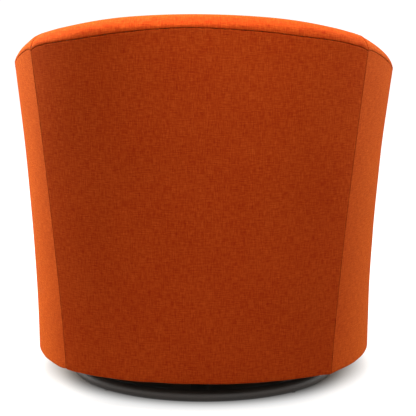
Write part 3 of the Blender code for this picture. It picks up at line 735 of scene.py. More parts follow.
# %% Outside panels
HEM_ROUND, HEM_FOLD = 0.0045, 0.0072
JOIN_LAP, PANEL_GROOVE, LINER_DEPTH = 0.0002, 0.0004, 0.0013
HEM_WAVE, HEM_WAVE_PITCH, HEM_REACH, HEM_FADE_POWER = 0.0009, 0.055, 0.018, 20
PANEL_LEVEL, COVER_LEVEL = 0.45, 0.55
HEM_ENDS = {"back": (0.0022, -0.0020), "arm_left": (0, 0.0030), "arm_right": (-0.0014, 0)}
LAP = 0.0006
PANELS = {
    "back": (SEAM + LAP, -SEAM - LAP),
    "arm_left": (FRONT + LAP, SEAM - LAP),
    "arm_right": (LAP - SEAM, -FRONT - LAP),
}
QUARTER = math.pi / 2

def rounding(radius, first, last, count):
    """An arc between two straight edges: how far each of its points lies from either."""
    turns = steps(first, last, count)
    return [(radius * (1 - math.cos(turn)), radius * (1 - math.sin(turn))) for turn in turns]

HEM_LINE = [(HEM_FOLD, HEM_Z), (HEM_FOLD * 0.8, HEM_Z)]
HEM_LINE += [(inset, HEM_Z + lift) for inset, lift in rounding(HEM_ROUND, QUARTER, 0, 6)]

def panel_columns(ends, z, depth):
    """The stations of a panel's columns, how far each lies from its first edge, and the whole length."""
    samples = [wall(at, z, depth(at, z)) for at in steps(*ends, 60)]
    length = sum((after - before).length for before, after in zip(samples, samples[1:]))
    across = np.array(spaced(length))
    return [mix(*ends, place / length) for place in across], across, length

def hem_lift(place, length, zone, seed):
    """The fold under the frame is stapled by hand, so it wanders, and at the seams it is higher or lower."""
    wander = HEM_WAVE * noise.noise((place / HEM_WAVE_PITCH, seed, 3.7))
    ends = zip(HEM_ENDS[zone], (place, length - place))
    return wander + sum(lift * math.exp(-(away / HEM_REACH) ** 2) for lift, away in ends)

def outside_panel(zone, seed):
    """A panel between two stations, from the fold under the frame up to the seam under the rim."""
    stations, across, length = panel_columns(PANELS[zone], PANEL_LEVEL, lambda at, z: 0)
    tall = rim_z(0) - SEAM_DROP - HEM_Z - HEM_ROUND
    rows = [place / tall for place in spaced(tall, first=False)][1:]
    points, from_seam = [], []
    for at, place in zip(stations, across):
        foot, top = HEM_Z + HEM_ROUND, rim_z(at) - seam_drop(at) + JOIN_LAP
        lift = hem_lift(place, length, zone, seed)
        column = [wall(at, z + lift, depth) for depth, z in HEM_LINE]
        column += [wall(at, mix(foot, top, row) + lift * (1 - row) ** HEM_FADE_POWER, 0) for row in rows]
        points.append(column)
        heights = [1.0] * len(HEM_LINE) + [(top - foot) * (1 - row) for row in rows]
        from_seam.append([min(place, length - place, height) for height in heights])
    points, from_seam = np.array(points), np.array(from_seam)
    chart = weave_chart(points)
    fade = [0] * (len(HEM_LINE) - 1) + [min(1, 0.3 + 0.7 * i / 8) for i in range(len(rows) + 1)]
    relief = cloth_relief(chart, from_seam, seed) * fade
    relief -= round_down(from_seam) + PANEL_GROOVE * near_seam(from_seam)
    points = raised(points, np.maximum(relief, -LINER_DEPTH), PANELS[zone])
    panel, order = lay_cloth(f"outside_{zone}", points, chart)
    painted_seam_shade_map(panel, near_seam(from_seam)[order])
    finish_cover(panel, f"outside_{zone}_panel")

for seed, zone in enumerate(PANELS, 1):
    outside_panel(zone, seed)

# %% [markdown]
# ## Letting cloth settle
#
# Padding under a cover presses it out everywhere except where it is sewn or tucked in. A cloth
# simulation does this better than a formula, because the cloth also has to go somewhere, and small
# tight folds form near what holds it. The seams are held, a little pressure acts from inside with no
# gravity, and no point may end further from its start than a cap.

# %% Cloth simulation
SETTLE_FRAMES, SETTLE_SPARE = 20, 0.012
CLOTH_RULES = {
    "quality": 5, "mass": 0.2, "air_damping": 2.0, "tension_stiffness": 18, "compression_stiffness": 18,
    "shear_stiffness": 6, "bending_stiffness": 0.4, "use_pressure": True, "shrink_min": -SETTLE_SPARE,
    "vertex_group_mass": "held", "pin_stiffness": 1.0,
}

def settle(piece, held, cap, pressure):
    """Runs cloth on a piece whose points are held by these weights, and moves them out to where they end."""
    start = vertex_values(piece.data, "co")
    group = piece.vertex_groups.new(name="held")
    for index in np.flatnonzero(held > 0):
        group.add([int(index)], float(held[index]), "REPLACE")
    cloth = piece.modifiers.new("cloth", "CLOTH")
    for name, value in CLOTH_RULES.items():
        setattr(cloth.settings, name, value)
    cloth.settings.uniform_pressure_force = pressure
    cloth.settings.effector_weights.gravity = 0
    cloth.collision_settings.use_collision = False
    cloth.point_cache.frame_end = SETTLE_FRAMES
    for frame in range(1, SETTLE_FRAMES + 1):
        bpy.context.scene.frame_set(frame)
    shown = piece.evaluated_get(bpy.context.evaluated_depsgraph_get()).data
    moved = vertex_values(shown, "co") - start
    normals = vertex_values(piece.data, "normal")
    moved -= normals * np.minimum((moved * normals).sum(axis=1, keepdims=True), 0)
    piece.modifiers.remove(cloth)
    piece.vertex_groups.remove(group)
    bpy.context.scene.frame_set(1)
    length = np.linalg.norm(moved, axis=1, keepdims=True)
    moved *= np.minimum(1, cap * np.tanh(length / cap) / np.maximum(length, 1e-9))
    move_to(piece, start + moved)
    furthest = float(np.linalg.norm(moved, axis=1).max()) * 1000
    print(piece.name, "settled, moved at most", round(furthest, 1), "mm")
    return start + moved

# %% [markdown]
# ## The inside covers
#
# The inside cover starts at the seam under the rim, rolls over the padding and runs down to the deck,
# where it is tucked in beside the cushion. It comes in three panels too: the back, and the two arms.

# %% Inside covers
INSIDE_FOOT = 0.3006
ROLL_ROWS_OUT, ROLL_ROWS_IN = 9, 16
INSIDE_SEAM_ROUND, COVER_GROOVE = 0.0026, 0.0012
COVER_HELD_RUN, COVER_PRESS, COVER_WAVE = 0.005, 2.0, 0.0008
ROLL_CAP, ROLL_CAP_RUN, ROLL_CAP_FADE = 0.0015, 0.05, 0.08
SKINS = {}

def inside_points(stations, first):
    """Rows from the outside seam down to the deck, with the first ones crowded at the seam."""
    rows = ROLL_ROWS_OUT, ROLL_ROWS_IN, round((rim_z(first) - ROLL_DROP - INSIDE_FOOT) / CELL)
    points = np.array([rolled_line(at, *rows, INSIDE_FOOT) for at in stations])
    foot, up = points[:, :1], points[:, 1:2] - points[:, :1]
    up /= np.linalg.norm(up, axis=2, keepdims=True)
    near = foot + up * (np.array(EDGE_PLACES)[None, :, None] - JOIN_LAP)
    clear = np.linalg.norm(points - foot, axis=2).min(axis=0) > EDGE_PLACES[-1] + JOIN_LAP
    return np.concatenate([near, points[:, clear]], axis=1)

def inside_cover(zone, seed, cap):
    """A cover from the seam under the rim down to the deck, which swells by a cap at most."""
    stations, across, length = panel_columns(PANELS[zone], COVER_LEVEL, thickness)
    points = inside_points(stations, PANELS[zone][0])
    chart = weave_chart(points)
    from_side = np.minimum(across, length - across)[:, None]
    from_seam = np.minimum(from_side, chart[:, :, 1])
    piece, order = lay_cloth(f"inside_{zone}", points, chart)
    from_foot = chart[:, -1:, 1] - chart[:, :, 1]
    held = np.exp(-np.minimum(from_seam, from_foot) / COVER_HELD_RUN)
    past_roll = np.clip((chart[:, :, 1] - ROLL_CAP_RUN) / ROLL_CAP_FADE, 0, 1)
    caps = mix(ROLL_CAP, cap, past_roll)[order]
    points[order] = settle(piece, held[order], caps[:, None], COVER_PRESS)
    relief = cloth_relief(chart, from_seam, seed, COVER_WAVE)
    relief -= np.maximum(round_down(from_side, INSIDE_SEAM_ROUND), round_down(chart[:, :, 1]))
    relief -= COVER_GROOVE * near_seam(from_seam)
    painted_seam_shade_map(piece, near_seam(from_seam)[order])
    move_to(piece, raised(points, relief, PANELS[zone])[order])
    faces = [face.vertices[:] for face in piece.data.polygons]
    SKINS[zone] = BVHTree.FromPolygons([vertex.co for vertex in piece.data.vertices], faces)
    finish_cover(piece, f"inside_{zone}_cover")

for seed, zone, cap in ((11, "back", 0.009), (12, "arm_left", 0.007), (13, "arm_right", 0.007)):
    inside_cover(zone, seed, cap)

# %% [markdown]
# ## Arm facings
#
# The end of each arm is closed by a padded facing. It is sewn to the arm all round, a finger's width
# behind its front, so its edge is round and its face swells a little. A flat cap with a bevel would
# look like board. Here rings of points run from the seam over the edge and in to a line up the middle
# of the facing, and the weave is mapped outwards from that line.

# %% Rings towards a middle line
FACING_ROUND, FACING_CROWN, FACING_SWELL = 0.0095, 0.0035, 0.016
MIDDLE_FOOT, MIDDLE_TOP = 0.040, 0.052
OUTLINE_ROWS, ROLL_OUT_ROWS, ROLL_IN_ROWS = 40, 12, 18
SEAM_Y = WALL_FRONT + 0.0003

def evenly(line, cell=CELL):
    """Points on a line at even distances, with both ends."""
    line = np.array(line)
    run = lengths(line)
    places = np.linspace(0, run[-1], max(2, round(run[-1] / cell)) + 1)
    return np.stack([np.interp(places, run, line[:, axis]) for axis in range(line.shape[1])], axis=1)

def arm_end_outline(side):
    """Up the outside of an arm's end, over the roll, down the inside and back along the bottom."""
    at = side * FRONT
    rise = steps(HEM_Z, rim_z(at) - seam_drop(at), OUTLINE_ROWS)[:-1]
    roll = rolled_line(at, ROLL_OUT_ROWS, ROLL_IN_ROWS, OUTLINE_ROWS, DECK_Z)
    line = [(point.x, point.z) for point in [wall(at, z, 0) for z in rise] + roll]
    corner = (line[-1][0], HEM_Z)
    return np.concatenate([evenly(line + [corner])[:-1], evenly([corner, line[0]])[:-1]])

def middle_line(outline):
    """For each point of the outline, the point of the middle line that it looks at."""
    low, high = outline[:, 1].min() + MIDDLE_FOOT, outline[:, 1].max() - MIDDLE_TOP
    heights = np.clip(outline[:, 1], low, high)
    levels = np.linspace(low, high, 60)
    centres = []
    for level in levels:
        near = outline[np.abs(outline[:, 1] - level) < CELL]
        centres.append((near[:, 0].min() + near[:, 0].max()) / 2)
    return np.stack([np.interp(heights, levels, centres), heights], axis=1)

def mesh_piece(name, points, faces, chart):
    """A piece from points and faces, with the weave map's place for each corner of each face."""
    mesh = bpy.data.meshes.new(name)
    mesh.from_pydata(points.tolist(), [], [[int(corner) for corner in face] for face in faces])
    mesh.uv_layers.new(name="weave").data.foreach_set("uv", np.array(chart, float).ravel())
    return new_piece(name, mesh)

def ring_piece(name, rings, chart):
    """A closed form of rings with equal counts of points. The chart has one column more, where it closes."""
    rows, columns = rings.shape[:2]
    faces, corners = [], []
    for row in range(rows - 1):
        for column in range(columns):
            square = [(row, column), (row, column + 1), (row + 1, column + 1), (row + 1, column)]
            faces.append([at * columns + across % columns for at, across in square])
            corners += [chart[spot] for spot in square]
    piece = mesh_piece(name, rings.reshape(-1, 3), faces, corners)
    shape = bmesh.new()
    shape.from_mesh(piece.data)
    bmesh.ops.remove_doubles(shape, verts=shape.verts, dist=0.00002)
    bmesh.ops.recalc_face_normals(shape, faces=shape.faces)
    shape.to_mesh(piece.data)
    shape.free()
    return piece

print("an arm's end is", round(float(lengths(arm_end_outline(1))[-1]), 2), "m round")

# %% Facings
FACING_WAVE, FACING_WAVE_PITCH = 0.0009, 0.09
FACING_PUCKER, FACING_PUCKER_FADE = 0.0006, 0.014
FACING_CALM, FACING_CALM_RUN = 0.003, 0.012

def facing_profile(reach):
    """Inset, distance back from the front and length of cloth from the seam, for each ring of the face."""
    skirt = SEAM_Y + REACH
    line = [(float(round_down(place)), skirt - place) for place in EDGE_PLACES[:4]]
    line += rounding(FACING_ROUND, 0, QUARTER, 7)
    inset = line[-1][0]
    for share in steps(0, 1, 9)[1:]:
        deep = mix(inset, reach, share)
        line.append((deep, -FACING_CROWN * (1 - math.exp(-(deep - inset) / FACING_SWELL))))
    return line

def arm_facing(side, word, seed):
    """The facing of one arm, in rings from behind its seam to the middle line of its face."""
    outline = arm_end_outline(side)
    middle = middle_line(outline)
    inward = middle - outline
    reach = np.linalg.norm(inward, axis=1)
    inward /= reach[:, None]
    profiles = np.array([facing_profile(deep) for deep in reach]).transpose(1, 0, 2)
    spots = outline[None] + inward[None] * profiles[:, :, :1]
    run = lengths(profiles)
    chart = middle[None] - inward[None] * (run[-1] - run)[:, :, None]
    waves = FACING_WAVE * noise_field(chart, FACING_WAVE_PITCH, seed)
    waves += FACING_PUCKER * noise_field(chart, PUCKER_PITCH, seed + 3) * np.exp(-run / FACING_PUCKER_FADE)
    waves *= np.clip((run - FACING_CALM) / FACING_CALM_RUN, 0, 1)
    rings = np.stack([spots[:, :, 0], profiles[:, :, 1] - REACH + waves, spots[:, :, 1]], axis=2)
    back = []
    for share in (0.0, 0.6):
        flat = middle + (outline - middle) * share
        back.append(np.stack([flat[:, 0], np.full(len(flat), SEAM_Y), flat[:, 1]], axis=1))
    rings = np.concatenate([np.array(back), rings])
    chart = np.concatenate([chart[:1], chart[:1], chart])
    chart = np.concatenate([chart, chart[:, :1]], axis=1)
    facing = ring_piece(f"facing_{word}", rings, chart)
    painted_seam_shade_map(facing, near_seam(SEAM_Y - vertex_values(facing.data, "co")[:, 1]))
    finish_piece(facing, "chair", "orange_weave", f"arm_facing_{word}")

arm_facing(1, "left", 21)
arm_facing(-1, "right", 22)

# %% [markdown]
# ## Front border and deck
#
# Between the facings a border hangs under the cushion. Its cloth is folded in at the bottom, goes up
# the front, over the padded edge and a hand's width back onto the deck. There it is sewn to the black
# cloth that covers the rest of the deck, because nobody sees what is under the cushion.

# %% Front border
BORDER_HALF = DECK["half_width"] - 0.0007
DECK_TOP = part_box("deck_cloth")[1].z
LIP, BORDER_ROUND, BORDER_CROWN, CROWN_FADE = 0.095, 0.012, 0.004, 0.02
LIP_FOLD = ((0.0008, 0.0004), (0.0012, 0.0010))
SIDE_TURN = (0.0015, 0.0045, 0.0090, 0.0160)

def turned_in(points, chart, normals, shares):
    """Turns the side edges of a panel back into the chair, by a share of the full depth on each row."""
    first = [points[0] - normals[0] * (deep * shares)[:, None] for deep in SIDE_TURN[::-1]]
    last = [points[-1] - normals[-1] * (deep * shares)[:, None] for deep in SIDE_TURN]
    before = [chart[0] - (deep, 0) for deep in SIDE_TURN[::-1]]
    after = [chart[-1] + (deep, 0) for deep in SIDE_TURN]
    return np.concatenate([first, points, last]), np.concatenate([before, chart, after])

def border_cover():
    """The border's cloth, from the fold at the hem up the front and over the lip onto the deck."""
    across = np.array(spaced(2 * BORDER_HALF))
    line = list(HEM_LINE)
    face_start = len(line)
    line += [(0, z) for z in steps(HEM_Z + HEM_ROUND, DECK_TOP - BORDER_ROUND, 44)[1:]]
    face_end = len(line)
    line += [(inset, DECK_TOP - under) for inset, under in rounding(BORDER_ROUND, 0, QUARTER, 6)[1:]]
    line += [(place, DECK_TOP) for place in steps(BORDER_ROUND, LIP, 18)[1:]]
    line += [(LIP + past, DECK_TOP - under) for past, under in LIP_FOLD]
    points = np.array([[(place - BORDER_HALF, deep - REACH, z) for deep, z in line] for place in across])
    side = np.minimum(across, 2 * BORDER_HALF - across)[:, None]
    rows = np.arange(len(line))
    height = np.clip((rows - face_start + 1) / (face_end - face_start + 4), 0, 1)
    crown = BORDER_CROWN * np.sin(math.pi * height)[None, :] ** 0.8 * (1 - np.exp(-side / CROWN_FADE))
    chart = weave_chart(points)
    from_seam = np.repeat(side, len(line), axis=1)
    on_face = np.where((rows >= face_start - 3) & (rows < face_end + 4), 1.0, 0.25)[None, :]
    relief = (cloth_relief(chart, from_seam, 31) - round_down(from_seam)) * on_face + crown
    normals = normals_of(points)
    points = raised(points, relief)
    points[:, face_end + 6:, 2] = np.minimum(points[:, face_end + 6:, 2], DECK_TOP)
    shares = np.interp(rows, (face_start - 1, face_start + 3, face_end - 3, face_end + 1), (0.25, 1, 1, 0.6))
    points, chart = turned_in(points, chart, normals, shares)
    cover, order = lay_cloth("front_border", points, chart)
    painted_seam_shade_map(cover, near_seam(np.pad(from_seam, ((len(SIDE_TURN),) * 2, (0, 0))))[order])
    finish_cover(cover, "front_border_cover")

border_cover()

# %% [markdown]
# The deck and the cushion have the same plan: straight sides, a round back and, on the cushion, round
# front corners. A grid is stretched over such a plan from its four edges, so its lines bend with them.

# %% A grid over a plan
CORNER = (SEAM + SIDE) / 2

def mirrored(line):
    return [Vector((-point.x, point.y)) for point in line]

def plan_edges(depth, front_y, corner, front_sag=0.0):
    """The four edges of a plan as lines: front from right to left of the sitter, and so on round."""
    def at_wall(first, last, count):
        return [wall(at, DECK_Z, thickness(at, DECK_Z) + depth).xy for at in steps(first, last, count)]

    def bend(first, last):
        """Half of the front corner, from the straight front at a right angle to the side at 0."""
        arc = rounding(corner, first * QUARTER, last * QUARTER, 8)
        return [Vector((side_x - inset, front_y + lift)) for inset, lift in arc]

    side_x = DECK["half_width"] - depth
    right = bend(0.5, 0) + at_wall(SIDE, CORNER, 24)
    reach = side_x - corner
    straight = [Vector((reach * share, front_y + front_sag * (1 - share**2))) for share in steps(-1, 1, 24)]
    front = mirrored(bend(1, 0.5)[::-1]) + straight[1:-1] + bend(1, 0.5)
    return front, right, at_wall(CORNER, -CORNER, 160)[::-1], mirrored(right)

def along(line, shares):
    """Points at shares of a line's length, and the length."""
    line = np.array([tuple(point) for point in line])
    run = lengths(line)
    return np.stack([np.interp(shares * run[-1], run, line[:, axis]) for axis in (0, 1)], axis=1), run[-1]

def plan_grid(edges, cell=CELL):
    """Points over a plan, blended from its edges, and how far each lies from the edge."""
    front, right, rear, left = edges
    wide, long = along(front, np.array([0.0]))[1], along(right, np.array([0.0]))[1]
    across, deep = np.array(spaced(wide, cell)) / wide, np.array(spaced(long, cell)) / long
    low, high = along(front, across)[0], along(rear, across)[0]
    near, far = along(left, deep)[0], along(right, deep)[0]
    u, v = across[:, None, None], deep[None, :, None]
    grid = (1 - v) * low[:, None] + v * high[:, None] + (1 - u) * near[None] + u * far[None]
    grid -= (1 - u) * (1 - v) * low[0] + u * (1 - v) * low[-1] + (1 - u) * v * high[0] + u * v * high[-1]
    gaps = [gap[:, None] * wide for gap in (across, 1 - across)]
    return grid, gaps + [gap[None, :] * long for gap in (deep, 1 - deep)]

# %% Deck cloth
DECK_EASE, DECK_CORNER, DECK_CELL, DECK_ROUND = 0.0008, 0.0005, 0.011, 0.0014
DECK_FRONT = LIP + 0.0016 - REACH

def deck_cover():
    grid, gaps = plan_grid(plan_edges(DECK_EASE, DECK_FRONT, DECK_CORNER), DECK_CELL)
    level = DECK_TOP - round_down(functools.reduce(np.minimum, gaps), DECK_ROUND)
    points = np.dstack([grid, level])
    chart = weave_chart(points)
    cover, _ = lay_cloth("deck_cover", points, chart)
    finish_cover(cover, "deck_cloth", "black_cloth")

deck_cover()

# %% [markdown]
# ## The seat cushion
#
# A loose box cushion: a top and a bottom panel with a border between them, filled with foam wrapped in
# wadding. The filling pushes the top into a low crown and the border outwards, and the seams hold both
# back. The form starts close to that, then the cloth simulation lets it swell against its seams.

# %% Sizes of the cushion
CUSHION_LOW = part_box("seat_cushion")[0].z
CUSHION_EASE, CUSHION_BORDER, CUSHION_CROWN, CUSHION_CORNER = 0.004, 0.122, 0.020, 0.030
CUSHION_FRONT, FRONT_SAG = 0.006 - REACH, 0.006
SEAM_INSET, CROWN_EASE, BULGE_POWER = 0.0075, 0.046, 2.4
CUSHION_ROUND, SEAM_VALLEY, SEAM_VALLEY_WIDTH = 0.0030, 0.0020, 0.0017
TOP_SWELL, BORDER_SWELL, SEAM_SWELL, SWELL_RUN = 0.007, 0.003, 0.0003, 0.02
CUSHION_HELD_RUN, CUSHION_PRESS = 0.003, 3.5
CUSHION_WAVE, CUSHION_WAVE_PITCH = 0.0011, 0.11
CUSHION_PUCKER, CUSHION_PUCKER_PITCH, CUSHION_PUCKER_FADE, CUSHION_CALM = 0.0008, 0.018, 0.014, 0.002
ZIP_CENTRE_Y, ZIP_RADIUS, ZIP_HALF_TURN = -0.162, 0.356, math.radians(27)
ZIP_Z, ZIP_HALF_TAPE, ZIP_RECESS = CUSHION_LOW + CUSHION_BORDER / 2, 0.0115, 0.0015
RECESS_FADE, RECESS_TURN_FADE, RECESS_HALF = 0.002, 0.01, 0.05

def ring_of(grid):
    """The edge of a grid as one closed ring, anticlockwise from above."""
    return np.concatenate([grid[:-1, 0], grid[-1, :-1], grid[:0:-1, -1], grid[0, :0:-1]])

def ring_normals(ring):
    run = np.roll(ring, -1, axis=0) - np.roll(ring, 1, axis=0)
    normals = np.stack([run[:, 1], -run[:, 0]], axis=1)
    return normals / np.linalg.norm(normals, axis=1, keepdims=True)

print("zip", round(2 * ZIP_RADIUS * ZIP_HALF_TURN, 3), "m long, at a height of", round(ZIP_Z, 3))

# %% The form of the cushion
def squares(columns, rows):
    """The corners of each cell of a grid."""
    return [[(i, j), (i + 1, j), (i + 1, j + 1), (i, j + 1)] for i in range(columns) for j in range(rows)]

def cushion_form():
    """Points of the cushion, its faces, the map of the weave, and for each point its distance to a seam."""
    edges = plan_edges(CUSHION_EASE + SEAM_INSET, CUSHION_FRONT + SEAM_INSET, CUSHION_CORNER, FRONT_SAG)
    grid, gaps = plan_grid(edges)
    crown, edge = 1.0, 1.0
    for gap in gaps:
        crown, edge = crown * (1 - np.exp(-gap / CROWN_EASE)), np.minimum(edge, gap)
    level = np.zeros(grid.shape[:2])
    bottom = np.dstack([grid, level + CUSHION_LOW])
    top = np.dstack([grid, level + CUSHION_LOW + CUSHION_BORDER + CUSHION_CROWN * crown])
    ring, heights = ring_of(grid), np.array(spaced(CUSHION_BORDER))
    bulge = SEAM_INSET * (1 - np.abs(2 * heights / CUSHION_BORDER - 1) ** BULGE_POWER)
    rows = ring[:, None] + ring_normals(ring)[:, None] * bulge[None, :, None]
    border = np.dstack([rows, np.broadcast_to(CUSHION_LOW + heights, rows.shape[:2])])
    count = level.size
    order = np.arange(count).reshape(level.shape)
    inner = 2 * count + np.arange(border[:, 1:-1, 0].size).reshape(border[:, 1:-1, 0].shape)
    belt = np.concatenate([ring_of(order)[:, None] + count, inner, ring_of(order)[:, None]], axis=1)
    belt = np.concatenate([belt, belt[:1]])
    points = np.concatenate([part.reshape(-1, 3) for part in (top, bottom, border[:, 1:-1])])
    faces, chart = [], []
    for square in squares(level.shape[0] - 1, level.shape[1] - 1):
        faces.append([order[spot] for spot in square])
        faces.append([count + order[spot] for spot in square[::-1]])
        chart += [grid[spot] for spot in square] + [grid[spot] for spot in square[::-1]]
    run = lengths(np.concatenate([ring, ring[:1]]))
    for square in squares(len(ring), len(heights) - 1):
        faces.append([belt[spot] for spot in square])
        chart += [(run[i], heights[j]) for i, j in square]
    from_seam = np.minimum(heights, CUSHION_BORDER - heights)[1:-1]
    from_seam = np.concatenate([edge.ravel(), edge.ravel(), np.tile(from_seam, len(ring))])
    return points, faces, chart, from_seam, count

# %% Let the cushion settle against its seams
def point_noise(points, pitch, seed):
    return np.array([noise.noise((x / pitch, y / pitch, z / pitch + seed)) for x, y, z in points])

def zip_recess(points):
    """Keeps the border just inside the zip, so that the tape and the slider lie on it."""
    turn = np.abs(np.arctan2(points[:, 0], points[:, 1] - ZIP_CENTRE_Y))
    away = np.hypot(points[:, 0], points[:, 1] - ZIP_CENTRE_Y)
    aside = np.abs(points[:, 2] - ZIP_Z)
    beside = np.clip((aside - ZIP_HALF_TAPE) / RECESS_FADE, 0, 1)
    past = np.clip((turn - ZIP_HALF_TURN) / RECESS_TURN_FADE, 0, 1)
    most = ZIP_RADIUS - ZIP_RECESS + ZIP_RECESS * np.maximum(beside, past)
    rear = (points[:, 1] > 0) & (aside < RECESS_HALF)
    share = np.where(rear, np.minimum(most / np.maximum(away, 1e-6), 1), 1)
    points[:, 0] *= share
    points[:, 1] = ZIP_CENTRE_Y + (points[:, 1] - ZIP_CENTRE_Y) * share
    return points

def cushion_relief(points, from_seam):
    """Broad waves, puckers near the seams and the valley that the stitches pull along them."""
    waves = CUSHION_WAVE * point_noise(points, CUSHION_WAVE_PITCH, 40) * np.clip(from_seam / WAVE_FADE, 0, 1)
    puckers = CUSHION_PUCKER * point_noise(points, CUSHION_PUCKER_PITCH, 50)
    puckers *= np.exp(-from_seam / CUSHION_PUCKER_FADE) * np.clip(from_seam / CUSHION_CALM, 0, 1)
    return waves + puckers - SEAM_VALLEY * np.exp(-(from_seam / SEAM_VALLEY_WIDTH) ** 2)

def seat_cushion():
    """The form, settled against its seams, with waves and puckers and the recess for the zip."""
    points, faces, chart, from_seam, count = cushion_form()
    cushion = mesh_piece("cushion_cover", points, faces, chart)
    painted_seam_shade_map(cushion, near_seam(from_seam))
    number = np.arange(len(points))
    under = number // count == 1
    held = np.where(under, 1.0, np.exp(-from_seam / CUSHION_HELD_RUN))
    swell = np.where(number < count, TOP_SWELL, BORDER_SWELL) * (1 - np.exp(-from_seam / SWELL_RUN))
    points = settle(cushion, held, (swell + SEAM_SWELL)[:, None], CUSHION_PRESS)
    relief = np.where(under, 0, cushion_relief(points, from_seam)) - round_down(from_seam, CUSHION_ROUND)
    points = zip_recess(points + vertex_values(cushion.data, "normal") * relief[:, None])
    points[:, 2] = np.maximum(points[:, 2], CUSHION_LOW)
    move_to(cushion, points)
    finish_piece(cushion, "cushion", "orange_weave", "seat_cushion")
    print("top at", round(float(points[:, 2].max()), 4))

seat_cushion()

# %% [markdown]
# ## The zip
#
# The cover comes off through a zip along the back of the border. Its tape is a narrow strip, its teeth
# are one small hook repeated every 2.5 mm on each side, and the slider is a shaped piece of zinc with a
# pull that hangs down. A line with a bump texture would pass from afar, but the chair turns round.

# %% Tape and teeth
TOOTH_PITCH, TOOTH, TOOTH_BEVEL = 0.0025, (0.0013, 0.0012, 0.0026), 0.0003
TEETH_IN, TEETH_APART, TEETH_MARGIN = 0.0006, 0.0009, 0.01
TAPE_IN, TAPE_THICK = 0.0009, 0.0006

def zip_place(turn, out, z):
    reach = ZIP_RADIUS + out
    return Vector((math.sin(turn) * reach, ZIP_CENTRE_Y + math.cos(turn) * reach, z))

def zip_tape():
    turns = steps(ZIP_HALF_TURN, -ZIP_HALF_TURN, 120)
    levels = steps(ZIP_Z - ZIP_HALF_TAPE, ZIP_Z + ZIP_HALF_TAPE, 12)
    points = np.array([[zip_place(turn, -TAPE_IN, z) for z in levels] for turn in turns])
    tape, _ = lay_cloth("zip_tape", points)
    apply_modifier(tape, "SOLIDIFY", thickness=TAPE_THICK, offset=-1)
    finish_piece(tape, "cushion", "black_cloth")

def zip_teeth():
    bpy.ops.mesh.primitive_cube_add(size=1, scale=TOOTH)
    tooth = in_place("tooth")
    apply_modifier(tooth, "BEVEL", width=TOOTH_BEVEL, segments=1)
    shape = bmesh.new()
    count = int(2 * ZIP_HALF_TURN * ZIP_RADIUS / TOOTH_PITCH)
    end = ZIP_HALF_TURN - TEETH_MARGIN
    for number, turn in enumerate(steps(end, -end, count)):
        copy = tooth.data.copy()
        centre = zip_place(turn, -TEETH_IN, ZIP_Z + TEETH_APART * (-1) ** number)
        copy.transform(Matrix.Translation(centre) @ Matrix.Rotation(-turn, 4, "Z"))
        shape.from_mesh(copy)
        bpy.data.meshes.remove(copy)
    teeth = new_piece("zip_teeth", bpy.data.meshes.new("zip_teeth"))
    shape.to_mesh(teeth.data)
    shape.free()
    bpy.data.objects.remove(tooth)
    finish_piece(teeth, "cushion", "nylon", look=nylon)

zip_tape()
zip_teeth()

# %% Slider
SLIDER_HALF, SLIDER_TALL, SLIDER_THICK = 0.004, 0.0055, 0.0026
FOOT_BELOW, FOOT_WIDTH = 0.004, 0.55
BRIDGE_HALF, BRIDGE_ABOVE, BRIDGE_RISE = 0.0025, 0.002, 0.0004
PULL_HALF, PULL_TOP, PULL_FOOT, PULL_NEAR, PULL_FAR = 0.0022, 0.001, 0.0002, 0.0016, 0.0029
WAIST_ABOVE, WAIST_WIDTH = 0.012, 0.62

def box_between(name, low, high):
    """A box from one corner to the other, with its place in its mesh."""
    size = [b - a for a, b in zip(low, high)]
    middle = [(a + b) / 2 for a, b in zip(low, high)]
    bpy.ops.mesh.primitive_cube_add(size=1, location=middle, scale=size)
    return in_place(name)

def pick(piece, test):
    """Selects the vertices of a piece in edit mode by their place."""
    bpy.ops.mesh.select_all(action="DESELECT")
    bpy.ops.mesh.select_mode(type="VERT")
    shape = bmesh.from_edit_mesh(piece.data)
    for vertex in shape.verts:
        vertex.select = test(vertex.co)
    shape.select_flush(True)
    bmesh.update_edit_mesh(piece.data)

def join_pieces(first, others):
    select_only(first)
    for piece in others:
        piece.select_set(True)
    bpy.ops.object.join()

slider_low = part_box("zip_slider")[0]
face = slider_low.y
slider = box_between(
    "zip_slider_shaped", (-SLIDER_HALF, face, ZIP_Z - SLIDER_TALL),
    (SLIDER_HALF, face + SLIDER_THICK, ZIP_Z + SLIDER_TALL),
)
with edit_mode():
    bpy.ops.mesh.subdivide(number_cuts=2)
    pick(slider, lambda place: place.z < ZIP_Z - FOOT_BELOW)
    bpy.ops.transform.resize(value=(FOOT_WIDTH, 1, 1))
    pick(slider, lambda place: abs(place.z - ZIP_Z) < BRIDGE_HALF and place.y > face + BRIDGE_ABOVE)
    bpy.ops.transform.translate(value=(0, BRIDGE_RISE, 0))
bevel(slider, 0.0006, segments=3)

pull = box_between(
    "pull", (-PULL_HALF, face + PULL_NEAR, slider_low.z + PULL_FOOT),
    (PULL_HALF, face + PULL_FAR, ZIP_Z - PULL_TOP),
)
with edit_mode():
    bpy.ops.mesh.subdivide(number_cuts=4)
    pick(pull, lambda place: place.z > ZIP_Z - WAIST_ABOVE)
    bpy.ops.transform.resize(value=(WAIST_WIDTH, 1, 1))
bevel(pull, 0.0004)
join_pieces(slider, [pull])
finish_piece(slider, "slider", "zinc_steel", "zip_slider")

# %% [markdown]
# ## Padding under the covers
#
# The foam under each cover, the pad on the deck and the felt on the springs are there too, though the
# covers hide them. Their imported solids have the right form, so each piece starts as a copy of its
# solid, which is merged and gets softened edges.

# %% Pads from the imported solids
PADDING_FILL, MERGE = 0.9, 0.00001
PADS = (
    ("back_foam", "back_padding", 0), ("arm_left_foam", "arm_left_padding", 0),
    ("arm_right_foam", "arm_right_padding", 0), ("front_border_pad", "front_border_padding", 0.003),
    ("deck_pad", "deck_padding", 0.003),
)

